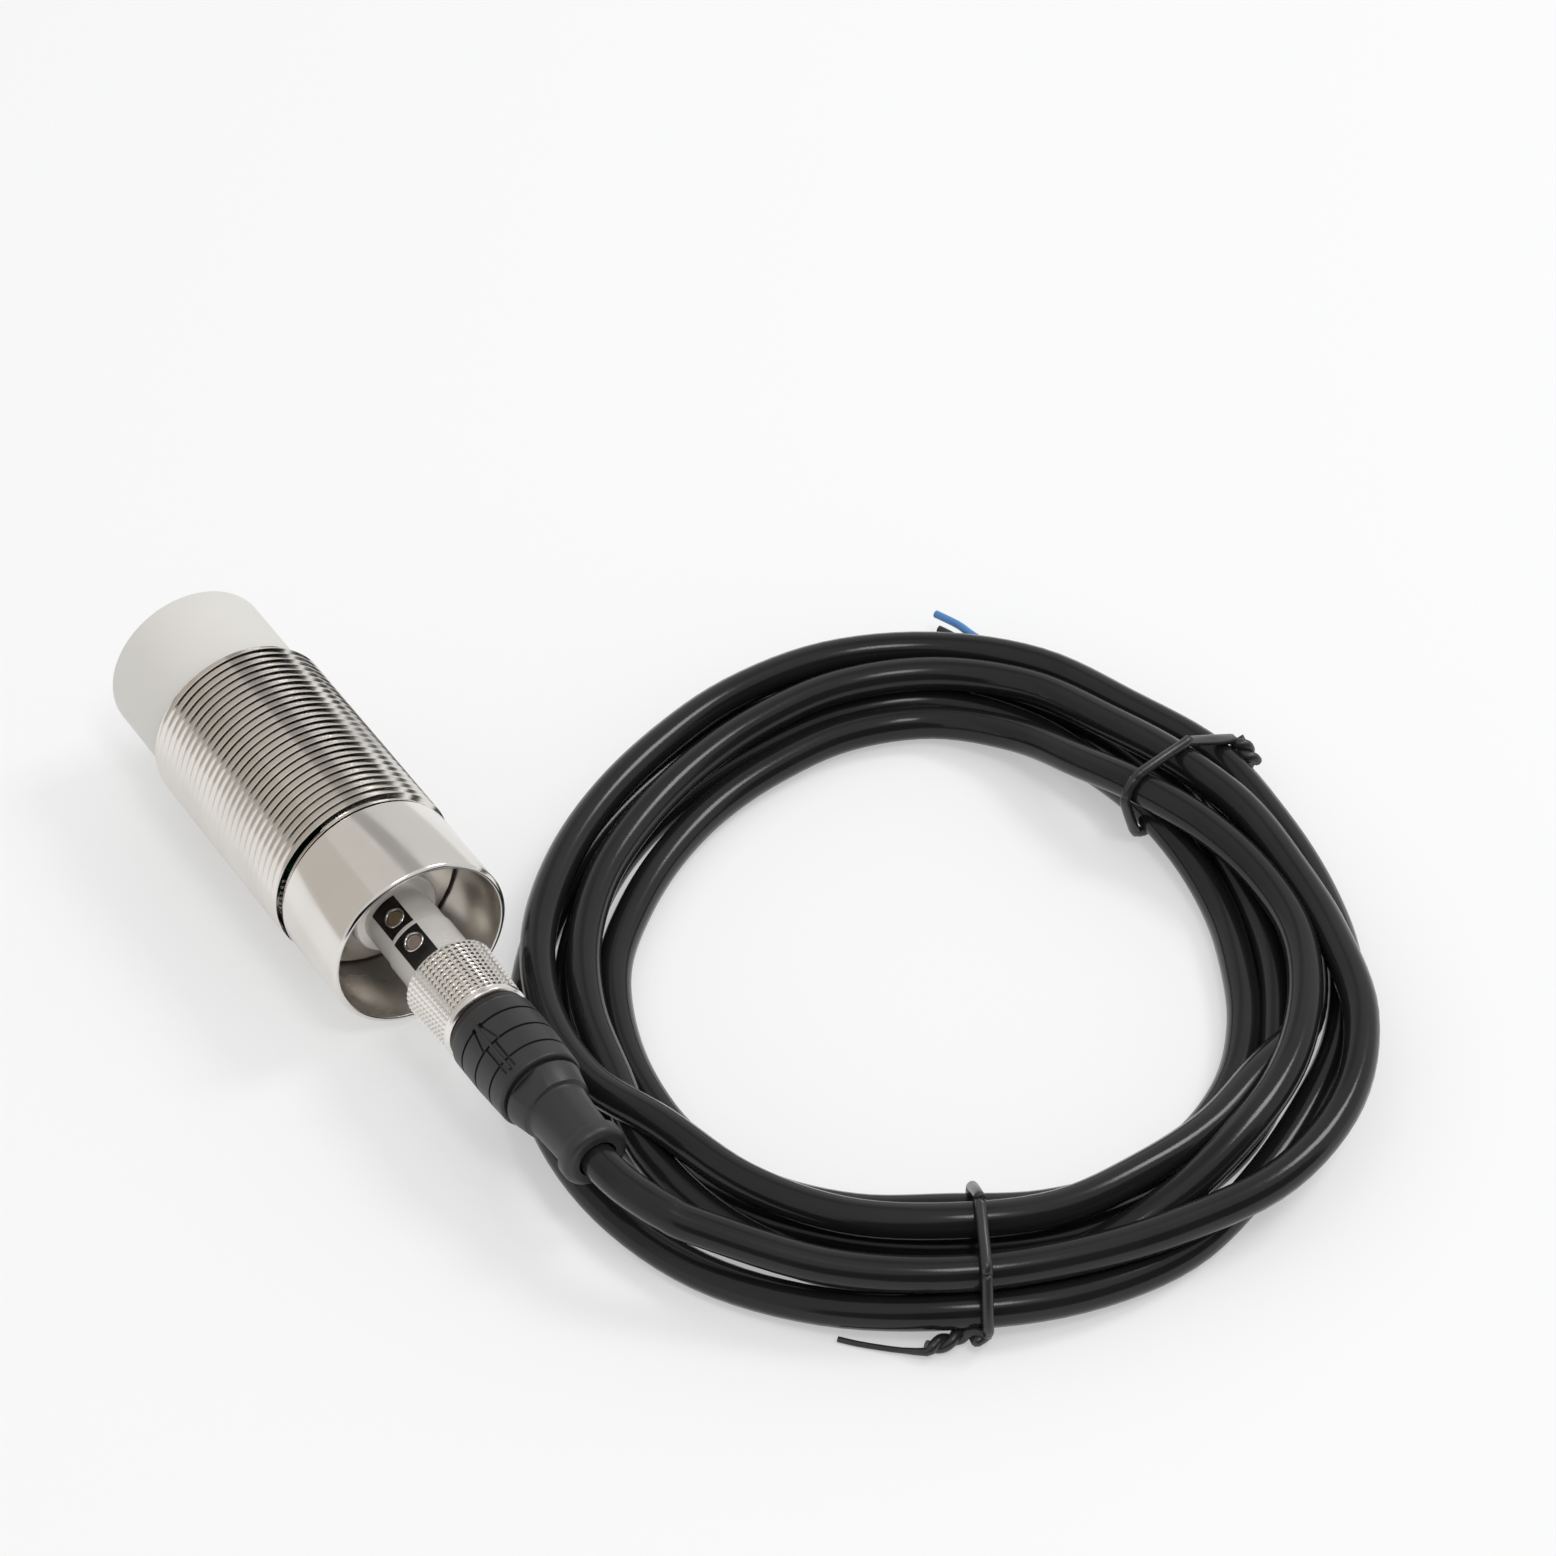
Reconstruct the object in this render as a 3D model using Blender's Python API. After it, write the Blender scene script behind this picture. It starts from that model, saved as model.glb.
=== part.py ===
"""Capacitive proximity sensor, M30 threaded body, with its plug-in cable.

The sensor lies on its side along X: the sensing face looks along -X and the
connector and the cable are at +X. Stations are distances from the sensing
face, measured along the axis. Units are metres, +Z is up.
"""
import math

import bmesh
import bpy
from mathutils import Matrix, Vector

for old in list(bpy.data.objects):
    bpy.data.objects.remove(old, do_unlink=True)

# Clearances
SEAT_GAP = 0.0003
THREAD_GAP = 0.0003

# Threaded body, M30 x 1.5
THREAD_RADIUS = 0.0150
CAP_LENGTH = 0.0170
THREAD_LENGTH = 0.0413
BODY_PITCH = 0.0015
BODY_THREAD_DEPTH = 0.0008
BODY_SIDES = 32
RELIEF_LENGTH = 0.0011
RELIEF_DEPTH = 0.0011
SLEEVE_LENGTH = 0.0163
SLEEVE_STEP = 0.00035
CUP_WALL = 0.0009
CUP_DEPTH = 0.0140
BODY_WALL = 0.0019
LEAD_CHAMFER = 0.0009
RIM_CHAMFER = 0.00035

# Sensing cap
CAP_STEP = 0.0015
CAP_FRONT_WALL = 0.0016
CAP_EDGE_RADIUS = 0.0009
CAP_SKIRT_LENGTH = 0.0080
CAP_SKIRT_WALL = 0.0010

# Electrodes and circuit behind the sensing face
PLATE_THICKNESS = 0.0005
PLATE_MARGIN = 0.0004
GUARD_WIDTH = 0.0018
CARRIER_THICKNESS = 0.0045
SLOT_DEPTH = 0.0020
BOARD_THICKNESS = 0.0016
BOARD_MARGIN = 0.0015
CHIP_SIZE = 0.0060
CHIP_HEIGHT = 0.0012
TRANSISTOR_LENGTH = 0.0045
TRANSISTOR_WIDTH = 0.0030
CHIP_STATION = 0.0200
TRANSISTOR_STATION = 0.0440

# Disc that closes the body, the floor of the rear cup
DISC_THICKNESS = 0.0034
SEAL_THICKNESS = 0.0010
SPIGOT_RADIUS = 0.0049

# Connector stem with its two light windows
COLLAR_RADIUS = 0.0070
COLLAR_LENGTH = 0.0061
NECK_RADIUS = 0.00535
NECK_LENGTH = 0.0079
BARREL_STEM_RADIUS = 0.0056
BARREL_STEM_LENGTH = 0.0084
STEM_BORE_RADIUS = 0.0042
PLUG_THREAD_RADIUS = 0.0059
PLUG_THREAD_LENGTH = 0.0088
SOCKET_BORE_RADIUS = 0.0049
WINDOW_RADIUS = 0.0016
WINDOW_SPACING = 0.0061
WINDOW_OFFSET = 0.0048
KEY_ANGLE = math.radians(58.9)
LENS_THICKNESS = 0.0014
LIGHT_BOARD_THICKNESS = 0.0008
LIGHT_BOARD_HEIGHT = 0.0010
LIGHT_HEIGHT = 0.0010
LIGHT_SIZE = 0.0016

# Contacts
PIN_CIRCLE_RADIUS = 0.0025
PIN_RADIUS = 0.0005
PIN_REACH = 0.0070
PIN_TAIL = 0.0010
PIN_CARRIER_LENGTH = 0.0040
SOCKET_WALL = 0.00035
SOCKET_INSET = 0.0004
SOCKET_CARRIER_RADIUS = 0.0043
SEAL_RING_RADIUS = 0.0005

# Coupling nut
NUT_RADIUS = 0.0074
NUT_REAR_RADIUS = 0.0069
NUT_LENGTH = 0.0123
NUT_FRONT_INSET = 0.0005
KNURL_LENGTH = 0.0102
KNURL_DEPTH = 0.00035
KNURL_COLUMNS = 36
KNURL_ROWS = 8
NUT_LIP_RADIUS = 0.00535
NUT_LIP_LENGTH = 0.0006
NUT_RECESS = 0.0003
THREAD_PITCH = 0.0010

# Moulded plug body
PLUG_FLANGE_LENGTH = 0.0004
PLUG_NECK_RADIUS = 0.00505
GRIP_FACE_RADIUS = 0.0061
GRIP_RADIUS = 0.0070
GRIP_LENGTH = 0.0150
GRIP_TAPER = 0.0003
GROOVE_COUNT = 3
GROOVE_FIRST = 0.0040
GROOVE_SPACING = 0.00385
GROOVE_WIDTH = 0.0006
GROOVE_DEPTH = 0.00045
SHOULDER_STEP = 0.0007
TAIL_LENGTH = 0.0160
WAIST_RADIUS = 0.0045
TAIL_COLLAR_RADIUS = 0.0052
TAIL_COLLAR_LENGTH = 0.0030
MOUTH_DEPTH = 0.0160
MARK_DEPTH = 0.0004
MARK_HEAD_WIDTH = 0.0032
MARK_HEAD_LENGTH = 0.0028
MARK_SHAFT_WIDTH = 0.0012
MARK_LENGTH = 0.0120

# Cable, coil, ties and wire ends
CABLE_RADIUS = 0.00275
COIL_CENTRE = Vector((0.0646, 0.0687))
COIL_MEAN_RADIUS = 0.0591
COIL_OVAL = (0.0036, math.radians(-27.5))
COIL_LOBES = (0.0024, math.radians(28.8))
COIL_HALF_WIDTH = 0.0090
COIL_HEIGHT = 0.0090
COIL_STEPS = 48
COIL_SIDES = 12
TIE_RADIUS = 0.0010
TIE_SPACING = 0.0034
TIE_KNOT = Vector((0.0016, -0.0022, 0.0))
TIE_STUB = 0.0030
TIE_LIFT_SPREAD = math.radians(8.0)
LOWER_TIE_ANGLE = math.radians(-27.5)
UPPER_TIE_ANGLE = math.radians(103.0)
WIRE_RADIUS = 0.00065
WIRE_ANGLE = math.radians(141.0)
WIRE_REACH = 0.0095
WIRE_SPREAD = 0.0066

# The cable from the plug down to the coil, as chosen points
LEAD_ROUTE = (
    (0.0662, 0.0000, 0.0150), (0.0720, 0.0000, 0.0150), (0.0780, 0.0000, 0.0150),
    (0.0830, 0.0001, 0.0149), (0.0870, 0.0006, 0.0146), (0.0905, 0.0013, 0.0141),
    (0.0937, 0.0023, 0.0134), (0.0967, 0.0035, 0.0126), (0.0995, 0.0049, 0.0118),
    (0.1021, 0.0065, 0.0110), (0.1045, 0.0083, 0.0103), (0.1067, 0.0103, 0.0097),
    (0.1086, 0.0124, 0.0092), (0.1101, 0.0146, 0.0087),
)

# The loose end of the lower tie, from the tie outwards
LOWER_TIE_TAIL = (
    (0.1265, 0.0288, 0.0016), (0.1246, 0.0233, 0.0014), (0.1215, 0.0202, 0.0014), (0.1177, 0.0173, 0.0018),
)

# Radii and places that follow from the sizes
BORE_RADIUS = THREAD_RADIUS - BODY_WALL
CAP_RADIUS = THREAD_RADIUS - CAP_STEP
SLEEVE_RADIUS = THREAD_RADIUS - SLEEVE_STEP
CARRIER_RADIUS = BORE_RADIUS - 2 * SEAT_GAP - CAP_SKIRT_WALL
PLATE_RADIUS = CARRIER_RADIUS - PLATE_MARGIN - GUARD_WIDTH - 2 * SEAT_GAP
BOARD_WIDTH = 2 * (CARRIER_RADIUS - BOARD_MARGIN)
BODY_START = CAP_LENGTH + SEAT_GAP
THREAD_END = BODY_START + THREAD_LENGTH
SLEEVE_START = THREAD_END + RELIEF_LENGTH
RIM = SLEEVE_START + SLEEVE_LENGTH
CUP_RADIUS = SLEEVE_RADIUS - CUP_WALL
CUP_FLOOR = RIM - CUP_DEPTH
DISC_START = CUP_FLOOR - DISC_THICKNESS
COLLAR_START = CUP_FLOOR + SEAT_GAP
NECK_START = COLLAR_START + COLLAR_LENGTH
STEP = NECK_START + NECK_LENGTH
PLUG_THREAD_START = STEP + BARREL_STEM_LENGTH
SENSOR_LENGTH = PLUG_THREAD_START + PLUG_THREAD_LENGTH
SOCKET_FLOOR = PLUG_THREAD_START + SEAT_GAP
NUT_START = PLUG_THREAD_START - NUT_FRONT_INSET
NUT_END = NUT_START + NUT_LENGTH
NUT_BORE_RADIUS = PLUG_THREAD_RADIUS + THREAD_GAP
LIP_END = NUT_END - NUT_RECESS
LIP_START = LIP_END - NUT_LIP_LENGTH
PLUG_START = LIP_START - SEAT_GAP - PLUG_FLANGE_LENGTH
GRIP_START = NUT_END + SEAT_GAP
GRIP_END = GRIP_START + GRIP_LENGTH
PLUG_END = GRIP_END + TAIL_LENGTH
POCKET_FLOOR = GRIP_START - SEAT_GAP


MERGE_REACH = 1e-7
FRONT = Vector((-SENSOR_LENGTH / 2, 0.0, THREAD_RADIUS))
SIDES = 32
SMALL_SIDES = 12


def material(name, colour, roughness, metallic=0.0):
    """A plain surface of one colour."""
    surface = bpy.data.materials.new(name)
    surface.use_nodes = True
    shader = surface.node_tree.nodes["Principled BSDF"]
    shader.inputs["Base Color"].default_value = (*colour, 1.0)
    shader.inputs["Roughness"].default_value = roughness
    shader.inputs["Metallic"].default_value = metallic
    return surface


NICKEL = material("nickel_plate", (0.66, 0.62, 0.58), 0.22, 1.0)
CAP_PLASTIC = material("cap_plastic", (0.68, 0.67, 0.63), 0.55)
COPPER = material("copper", (0.72, 0.38, 0.22), 0.35, 1.0)
BOARD_GREEN = material("board_green", (0.03, 0.16, 0.07), 0.5)
CARRIER_PLASTIC = material("carrier_plastic", (0.72, 0.70, 0.64), 0.6)
CHIP_BLACK = material("chip_black", (0.02, 0.02, 0.02), 0.5)
SEAL_RUBBER = material("seal_rubber", (0.10, 0.02, 0.015), 0.6)
LENS_OLIVE = material("lens_olive", (0.16, 0.13, 0.08), 0.25)
LENS_BROWN = material("lens_brown", (0.24, 0.18, 0.15), 0.25)
LIGHT_YELLOW = material("light_yellow", (0.75, 0.60, 0.20), 0.3)
LIGHT_GREEN = material("light_green", (0.20, 0.55, 0.25), 0.3)
CONTACT_BLACK = material("contact_plastic", (0.03, 0.03, 0.03), 0.5)
GOLD = material("contact_gold", (0.80, 0.58, 0.25), 0.25, 1.0)
PLUG_RUBBER = material("plug_rubber", (0.022, 0.022, 0.024), 0.55)
CABLE_BLACK = material("cable_black", (0.012, 0.012, 0.013), 0.28)
TIE_BLACK = material("tie_black", (0.02, 0.02, 0.02), 0.35)
WIRE_BLUE = material("wire_blue", (0.04, 0.18, 0.55), 0.4)
WIRE_BROWN = material("wire_brown", (0.20, 0.08, 0.03), 0.4)
WIRE_BLACK = material("wire_black", (0.02, 0.02, 0.02), 0.4)


def place(name, bm, surface, sharp=math.radians(30)):
    """Make an object of a mesh; its origin is on the axis at the sensing face."""
    bmesh.ops.recalc_face_normals(bm, faces=bm.faces)
    mesh = bpy.data.meshes.new(name)
    bm.to_mesh(mesh)
    bm.free()
    mesh.shade_smooth()
    mesh.set_sharp_from_angle(angle=sharp)
    mesh.materials.append(surface)
    thing = bpy.data.objects.new(name, mesh)
    thing.location = FRONT
    bpy.context.collection.objects.link(thing)
    return thing


def skin(rings, closed):
    """Join rings of points into a solid; an open stack of rings gets end faces."""
    bm = bmesh.new()
    loops = [[bm.verts.new(point) for point in ring] for ring in rings]
    follow = loops[1:] + loops[:1] if closed else loops[1:]
    for first, second in zip(loops, follow):
        count = len(first)
        for i in range(count):
            j = (i + 1) % count
            bm.faces.new((first[i], first[j], second[j], second[i]))
    if not closed:
        bm.faces.new(loops[0])
        bm.faces.new(loops[-1])
    return bm


def circle(station, radius, sides, centre=(0.0, 0.0)):
    """A ring of points round a line parallel to the axis."""
    steps = [2 * math.pi * i / sides for i in range(sides)]
    return [
        Vector((station, centre[0] + radius * math.cos(a), centre[1] + radius * math.sin(a)))
        for a in steps
    ]


def turned(name, profile, surface, closed=False, sides=SIDES, centre=(0.0, 0.0)):
    """A turned piece from (station, radius) points."""
    rings = [circle(station, radius, sides, centre) for station, radius in profile]
    return place(name, skin(rings, closed), surface)


def arc(station, radius, size, start, end, steps):
    """Points of a rounded edge in a turned profile, angles in degrees."""
    angles = [math.radians(start + (end - start) * i / steps) for i in range(steps + 1)]
    return [(station + size * math.cos(a), radius + size * math.sin(a)) for a in angles]


def seal_ring(name, station, radius, thickness, surface):
    """A rubber ring of round section."""
    profile = arc(station, radius, thickness, 0, 300, 5)
    return turned(name, profile, surface, closed=True, sides=24)


def box_mesh(size, centre):
    bm = bmesh.new()
    matrix = Matrix.Translation(centre) @ Matrix.Diagonal((*size, 1.0))
    bmesh.ops.create_cube(bm, size=1.0, matrix=matrix)
    return bm


def cutter(name, bm):
    """A cutter is only a guide: it is hidden and drawn as wires."""
    thing = place(name, bm, CHIP_BLACK)
    thing.hide_render = True
    thing.display_type = "WIRE"
    return thing


def cut(thing, tool):
    """Take the tool's shape out of a piece."""
    step = thing.modifiers.new(tool.name, "BOOLEAN")
    step.operation = "DIFFERENCE"
    step.solver = "EXACT"
    step.object = tool


def key_frame(station, height=0.0):
    """A frame on the key line: X along the axis, Z out of the surface there."""
    turn = Matrix.Rotation(math.pi / 2 - KEY_ANGLE, 4, "X")
    return Matrix.Translation((station, 0, 0)) @ turn @ Matrix.Translation((0, 0, height))


def pin_centres():
    """The four contacts stand in a square, turned with the key."""
    angles = [KEY_ANGLE + math.radians(45 + 90 * i) for i in range(4)]
    return [(PIN_CIRCLE_RADIUS * math.cos(a), PIN_CIRCLE_RADIUS * math.sin(a)) for a in angles]


def drill(name, start, end, radius):
    """A cutter of four round holes, one round each contact."""
    bm = bmesh.new()
    for centre in pin_centres():
        ends = [circle(station, radius, SMALL_SIDES, centre) for station in (start, end)]
        part = skin(ends, False)
        bmesh.ops.recalc_face_normals(part, faces=part.faces)
        mesh = bpy.data.meshes.new(name)
        part.to_mesh(mesh)
        part.free()
        bm.from_mesh(mesh)
    return cutter(name, bm)


def sensing_cap():
    corner = arc(CAP_EDGE_RADIUS, CAP_RADIUS - CAP_EDGE_RADIUS, CAP_EDGE_RADIUS, 180, 90, 4)
    skirt_radius = BORE_RADIUS - SEAT_GAP
    inner = skirt_radius - CAP_SKIRT_WALL
    end = CAP_LENGTH + CAP_SKIRT_LENGTH
    profile = corner + [
        (CAP_LENGTH, CAP_RADIUS), (CAP_LENGTH, skirt_radius), (end, skirt_radius),
        (end, inner), (CAP_FRONT_WALL, inner),
    ]
    turned("sensing_cap", profile, CAP_PLASTIC)


def sensing_plates():
    """The sensing plate with its guard ring, just behind the cap's face."""
    start = CAP_FRONT_WALL + SEAT_GAP
    end = start + PLATE_THICKNESS
    turned("sensing_plate", [(start, PLATE_RADIUS), (end, PLATE_RADIUS)], COPPER)
    inner = PLATE_RADIUS + 2 * SEAT_GAP
    outer = inner + GUARD_WIDTH
    ring = [(start, outer), (end, outer), (end, inner), (start, inner)]
    turned("guard_ring", ring, COPPER, closed=True)
    return end


def plate_carrier(plate_end):
    """The plastic carrier behind the plates, slotted for the circuit board."""
    start = plate_end + SEAT_GAP
    end = start + CARRIER_THICKNESS
    profile = [(start, CARRIER_RADIUS), (end, CARRIER_RADIUS)]
    carrier = turned("plate_carrier", profile, CARRIER_PLASTIC)
    depth = 2 * SLOT_DEPTH
    size = (depth, BOARD_WIDTH + 2 * SEAT_GAP, BOARD_THICKNESS + 2 * SEAT_GAP)
    cut(carrier, cutter("board_slot", box_mesh(size, (end, 0, 0))))
    return end - SLOT_DEPTH


def circuit(slot_floor):
    start = slot_floor + SEAT_GAP
    end = DISC_START - SEAT_GAP
    size = (end - start, BOARD_WIDTH, BOARD_THICKNESS)
    place("circuit_board", box_mesh(size, ((start + end) / 2, 0, 0)), BOARD_GREEN)
    height = BOARD_THICKNESS / 2 + SEAT_GAP + CHIP_HEIGHT / 2
    chip = (CHIP_SIZE, CHIP_SIZE, CHIP_HEIGHT)
    place("oscillator_chip", box_mesh(chip, (CHIP_STATION + CHIP_SIZE / 2, 0, height)), CHIP_BLACK)
    transistor = (TRANSISTOR_LENGTH, TRANSISTOR_WIDTH, CHIP_HEIGHT)
    place("output_transistor", box_mesh(transistor, (TRANSISTOR_STATION, 0, height)), CHIP_BLACK)


def thread_ridge(bm):
    """The outside thread: crests and roots run round the body as a right-hand helix.

    Points past either end are drawn in to that end, where they close up with the next ring.
    """
    relief = THREAD_RADIUS - RELIEF_DEPTH
    lead = THREAD_RADIUS - LEAD_CHAMFER
    runout = 4 * RELIEF_DEPTH / RELIEF_LENGTH
    rows = 2 * math.ceil(THREAD_LENGTH / BODY_PITCH + 2)
    columns = []
    for i in range(BODY_SIDES):
        share = i / BODY_SIDES
        angle = 2 * math.pi * share
        column = []
        for k in range(rows + 1):
            station = BODY_START + BODY_PITCH * (k / 2 - 1 + share)
            station = min(max(station, BODY_START), THREAD_END)
            radius = THREAD_RADIUS if k % 2 else THREAD_RADIUS - BODY_THREAD_DEPTH
            radius = min(radius, lead + station - BODY_START, relief + runout * (THREAD_END - station))
            column.append(bm.verts.new((station, radius * math.cos(angle), radius * math.sin(angle))))
        columns.append(column)
    last = columns[0][2:]
    for column, following in zip(columns, columns[1:] + [last]):
        for k in range(len(following) - 1):
            bm.faces.new((column[k], column[k + 1], following[k + 1], following[k]))


def barrel():
    """The threaded body: its thread, the relief groove, the plain sleeve and the bore."""
    relief = THREAD_RADIUS - RELIEF_DEPTH
    shoulder = DISC_START - SEAT_GAP
    profile = [
        (THREAD_END, relief), (SLEEVE_START, relief),
        (SLEEVE_START, SLEEVE_RADIUS - RIM_CHAMFER), (SLEEVE_START + RIM_CHAMFER, SLEEVE_RADIUS),
        (RIM - RIM_CHAMFER, SLEEVE_RADIUS), (RIM, SLEEVE_RADIUS - RIM_CHAMFER),
        (RIM, CUP_RADIUS + RIM_CHAMFER / 2), (RIM - RIM_CHAMFER / 2, CUP_RADIUS),
        (shoulder, CUP_RADIUS), (shoulder, BORE_RADIUS), (BODY_START, BORE_RADIUS),
        (BODY_START, THREAD_RADIUS - LEAD_CHAMFER),
    ]
    bm = skin([circle(station, radius, BODY_SIDES) for station, radius in profile], False)
    ends = [face for face in bm.faces if len(face.verts) == BODY_SIDES]
    bmesh.ops.delete(bm, geom=ends, context="FACES_ONLY")
    thread_ridge(bm)
    bmesh.ops.remove_doubles(bm, verts=bm.verts, dist=MERGE_REACH)
    place("barrel", bm, NICKEL)


def closing_disc():
    """The disc that closes the body, with a sealing ring in its rim."""
    radius = CUP_RADIUS - SEAT_GAP
    middle = (DISC_START + CUP_FLOOR) / 2
    half_groove = SEAL_THICKNESS / 2 + SEAT_GAP
    ring_radius = CUP_RADIUS - SEAT_GAP - SEAL_THICKNESS / 2
    floor = ring_radius - SEAL_THICKNESS / 2 - SEAT_GAP
    hole = SPIGOT_RADIUS + SEAT_GAP
    profile = [
        (DISC_START, radius), (middle - half_groove, radius), (middle - half_groove, floor),
        (middle + half_groove, floor), (middle + half_groove, radius), (CUP_FLOOR, radius),
        (CUP_FLOOR, hole), (DISC_START, hole),
    ]
    turned("closing_disc", profile, NICKEL, closed=True)
    seal_ring("body_seal", middle, ring_radius, SEAL_THICKNESS / 2, SEAL_RUBBER)


def window_stations():
    first = NECK_START + WINDOW_OFFSET
    return first, first + WINDOW_SPACING


def connector_stem():
    """The metal receptacle: collar, neck with two windows, and the plug's thread."""
    chamfer = RIM_CHAMFER
    profile = [
        (DISC_START + SEAT_GAP, SPIGOT_RADIUS), (COLLAR_START, SPIGOT_RADIUS),
        (COLLAR_START, COLLAR_RADIUS), (NECK_START - chamfer, COLLAR_RADIUS),
        (NECK_START, COLLAR_RADIUS - chamfer), (NECK_START, NECK_RADIUS),
        (STEP - BARREL_STEM_RADIUS + NECK_RADIUS, NECK_RADIUS), (STEP, BARREL_STEM_RADIUS),
        (PLUG_THREAD_START, BARREL_STEM_RADIUS),
        (PLUG_THREAD_START + chamfer, PLUG_THREAD_RADIUS), (SENSOR_LENGTH - chamfer, PLUG_THREAD_RADIUS),
        (SENSOR_LENGTH, PLUG_THREAD_RADIUS - chamfer), (SENSOR_LENGTH, SOCKET_BORE_RADIUS),
        (SOCKET_FLOOR, SOCKET_BORE_RADIUS), (SOCKET_FLOOR, STEM_BORE_RADIUS),
        (DISC_START + SEAT_GAP, STEM_BORE_RADIUS),
    ]
    stem = turned("connector_stem", profile, NICKEL, closed=True, sides=32)
    bm = bmesh.new()
    for station in window_stations():
        middle = (STEM_BORE_RADIUS + BARREL_STEM_RADIUS) / 2
        bmesh.ops.create_cone(
            bm, cap_ends=True, segments=20, radius1=WINDOW_RADIUS, radius2=WINDOW_RADIUS,
            depth=BARREL_STEM_RADIUS, matrix=key_frame(station, middle),
        )
    cut(stem, cutter("window_holes", bm))


def lights():
    """Two lenses in the windows, and the small board under them with its lights."""
    board_top = LIGHT_BOARD_HEIGHT + LIGHT_BOARD_THICKNESS
    light_base = board_top + SEAT_GAP
    lens_base = light_base + LIGHT_HEIGHT + SEAT_GAP
    carrier_start = SOCKET_FLOOR - PIN_CARRIER_LENGTH
    names = (("window_lens_front", LENS_OLIVE, "light_front", LIGHT_YELLOW),
             ("window_lens_rear", LENS_BROWN, "light_rear", LIGHT_GREEN))
    for station, (lens, lens_surface, light, light_surface) in zip(window_stations(), names):
        radius = WINDOW_RADIUS - SEAT_GAP
        bm = bmesh.new()
        bmesh.ops.create_cone(
            bm, cap_ends=True, segments=20, radius1=radius, radius2=radius, depth=LENS_THICKNESS,
            matrix=key_frame(station, lens_base + LENS_THICKNESS / 2),
        )
        place(lens, bm, lens_surface)
        bm = box_mesh((LIGHT_SIZE, LIGHT_SIZE, LIGHT_HEIGHT), (0, 0, 0))
        bm.transform(key_frame(station, light_base + LIGHT_HEIGHT / 2))
        place(light, bm, light_surface)
    start = NECK_START + SEAT_GAP
    end = carrier_start - SEAT_GAP
    half_width = math.sqrt((STEM_BORE_RADIUS - SEAT_GAP) ** 2 - board_top ** 2)
    bm = box_mesh((end - start, 2 * half_width, LIGHT_BOARD_THICKNESS), (0, 0, 0))
    bm.transform(key_frame((start + end) / 2, LIGHT_BOARD_HEIGHT + LIGHT_BOARD_THICKNESS / 2))
    place("light_board", bm, BOARD_GREEN)


def receptacle_contacts():
    """The insulating carrier in the stem with its four pins."""
    start = SOCKET_FLOOR - PIN_CARRIER_LENGTH
    radius = STEM_BORE_RADIUS - SEAT_GAP
    carrier = turned("pin_carrier", [(start, radius), (SOCKET_FLOOR, radius)], CONTACT_BLACK, sides=32)
    cut(carrier, drill("pin_holes", start - SEAT_GAP, SOCKET_FLOOR + SEAT_GAP, PIN_RADIUS + SEAT_GAP))
    tip = SOCKET_FLOOR + PIN_REACH
    for number, centre in enumerate(pin_centres(), 1):
        profile = [
            (start + PIN_TAIL, PIN_RADIUS), (tip - PIN_RADIUS, PIN_RADIUS),
            (tip - PIN_RADIUS / 3, PIN_RADIUS * 0.75), (tip, PIN_RADIUS / 3),
        ]
        turned(f"contact_pin_{number}", profile, GOLD, sides=10, centre=centre)


def plug_contacts():
    """The insulating carrier in the plug with its four sockets."""
    start = SOCKET_FLOOR + 2 * SEAT_GAP
    end = POCKET_FLOOR - SEAT_GAP
    profile = [(start, SOCKET_CARRIER_RADIUS), (end, SOCKET_CARRIER_RADIUS)]
    carrier = turned("socket_carrier", profile, CONTACT_BLACK, sides=32)
    bore = PIN_RADIUS + SEAT_GAP
    outer = bore + SOCKET_WALL
    cut(carrier, drill("socket_holes", start - SEAT_GAP, end + SEAT_GAP, outer + SEAT_GAP))
    floor = SOCKET_FLOOR + PIN_REACH + SEAT_GAP
    for number, centre in enumerate(pin_centres(), 1):
        profile = [
            (floor, bore), (start + SOCKET_INSET, bore), (start + SOCKET_INSET, outer), (end, outer),
        ]
        turned(f"contact_socket_{number}", profile, GOLD, sides=10, centre=centre)


def knurled_ring(station, row):
    """One ring of the knurl: small pyramids stand where row and column are odd."""
    crest = NUT_RADIUS - (NUT_RADIUS - NUT_REAR_RADIUS) * row / (2 * KNURL_ROWS)
    points = []
    for i in range(2 * KNURL_COLUMNS):
        peak = row % 2 == 1 and i % 2 == 1
        radius = crest if peak else crest - KNURL_DEPTH
        angle = math.pi * i / KNURL_COLUMNS
        points.append(Vector((station, radius * math.cos(angle), radius * math.sin(angle))))
    return points


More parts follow.
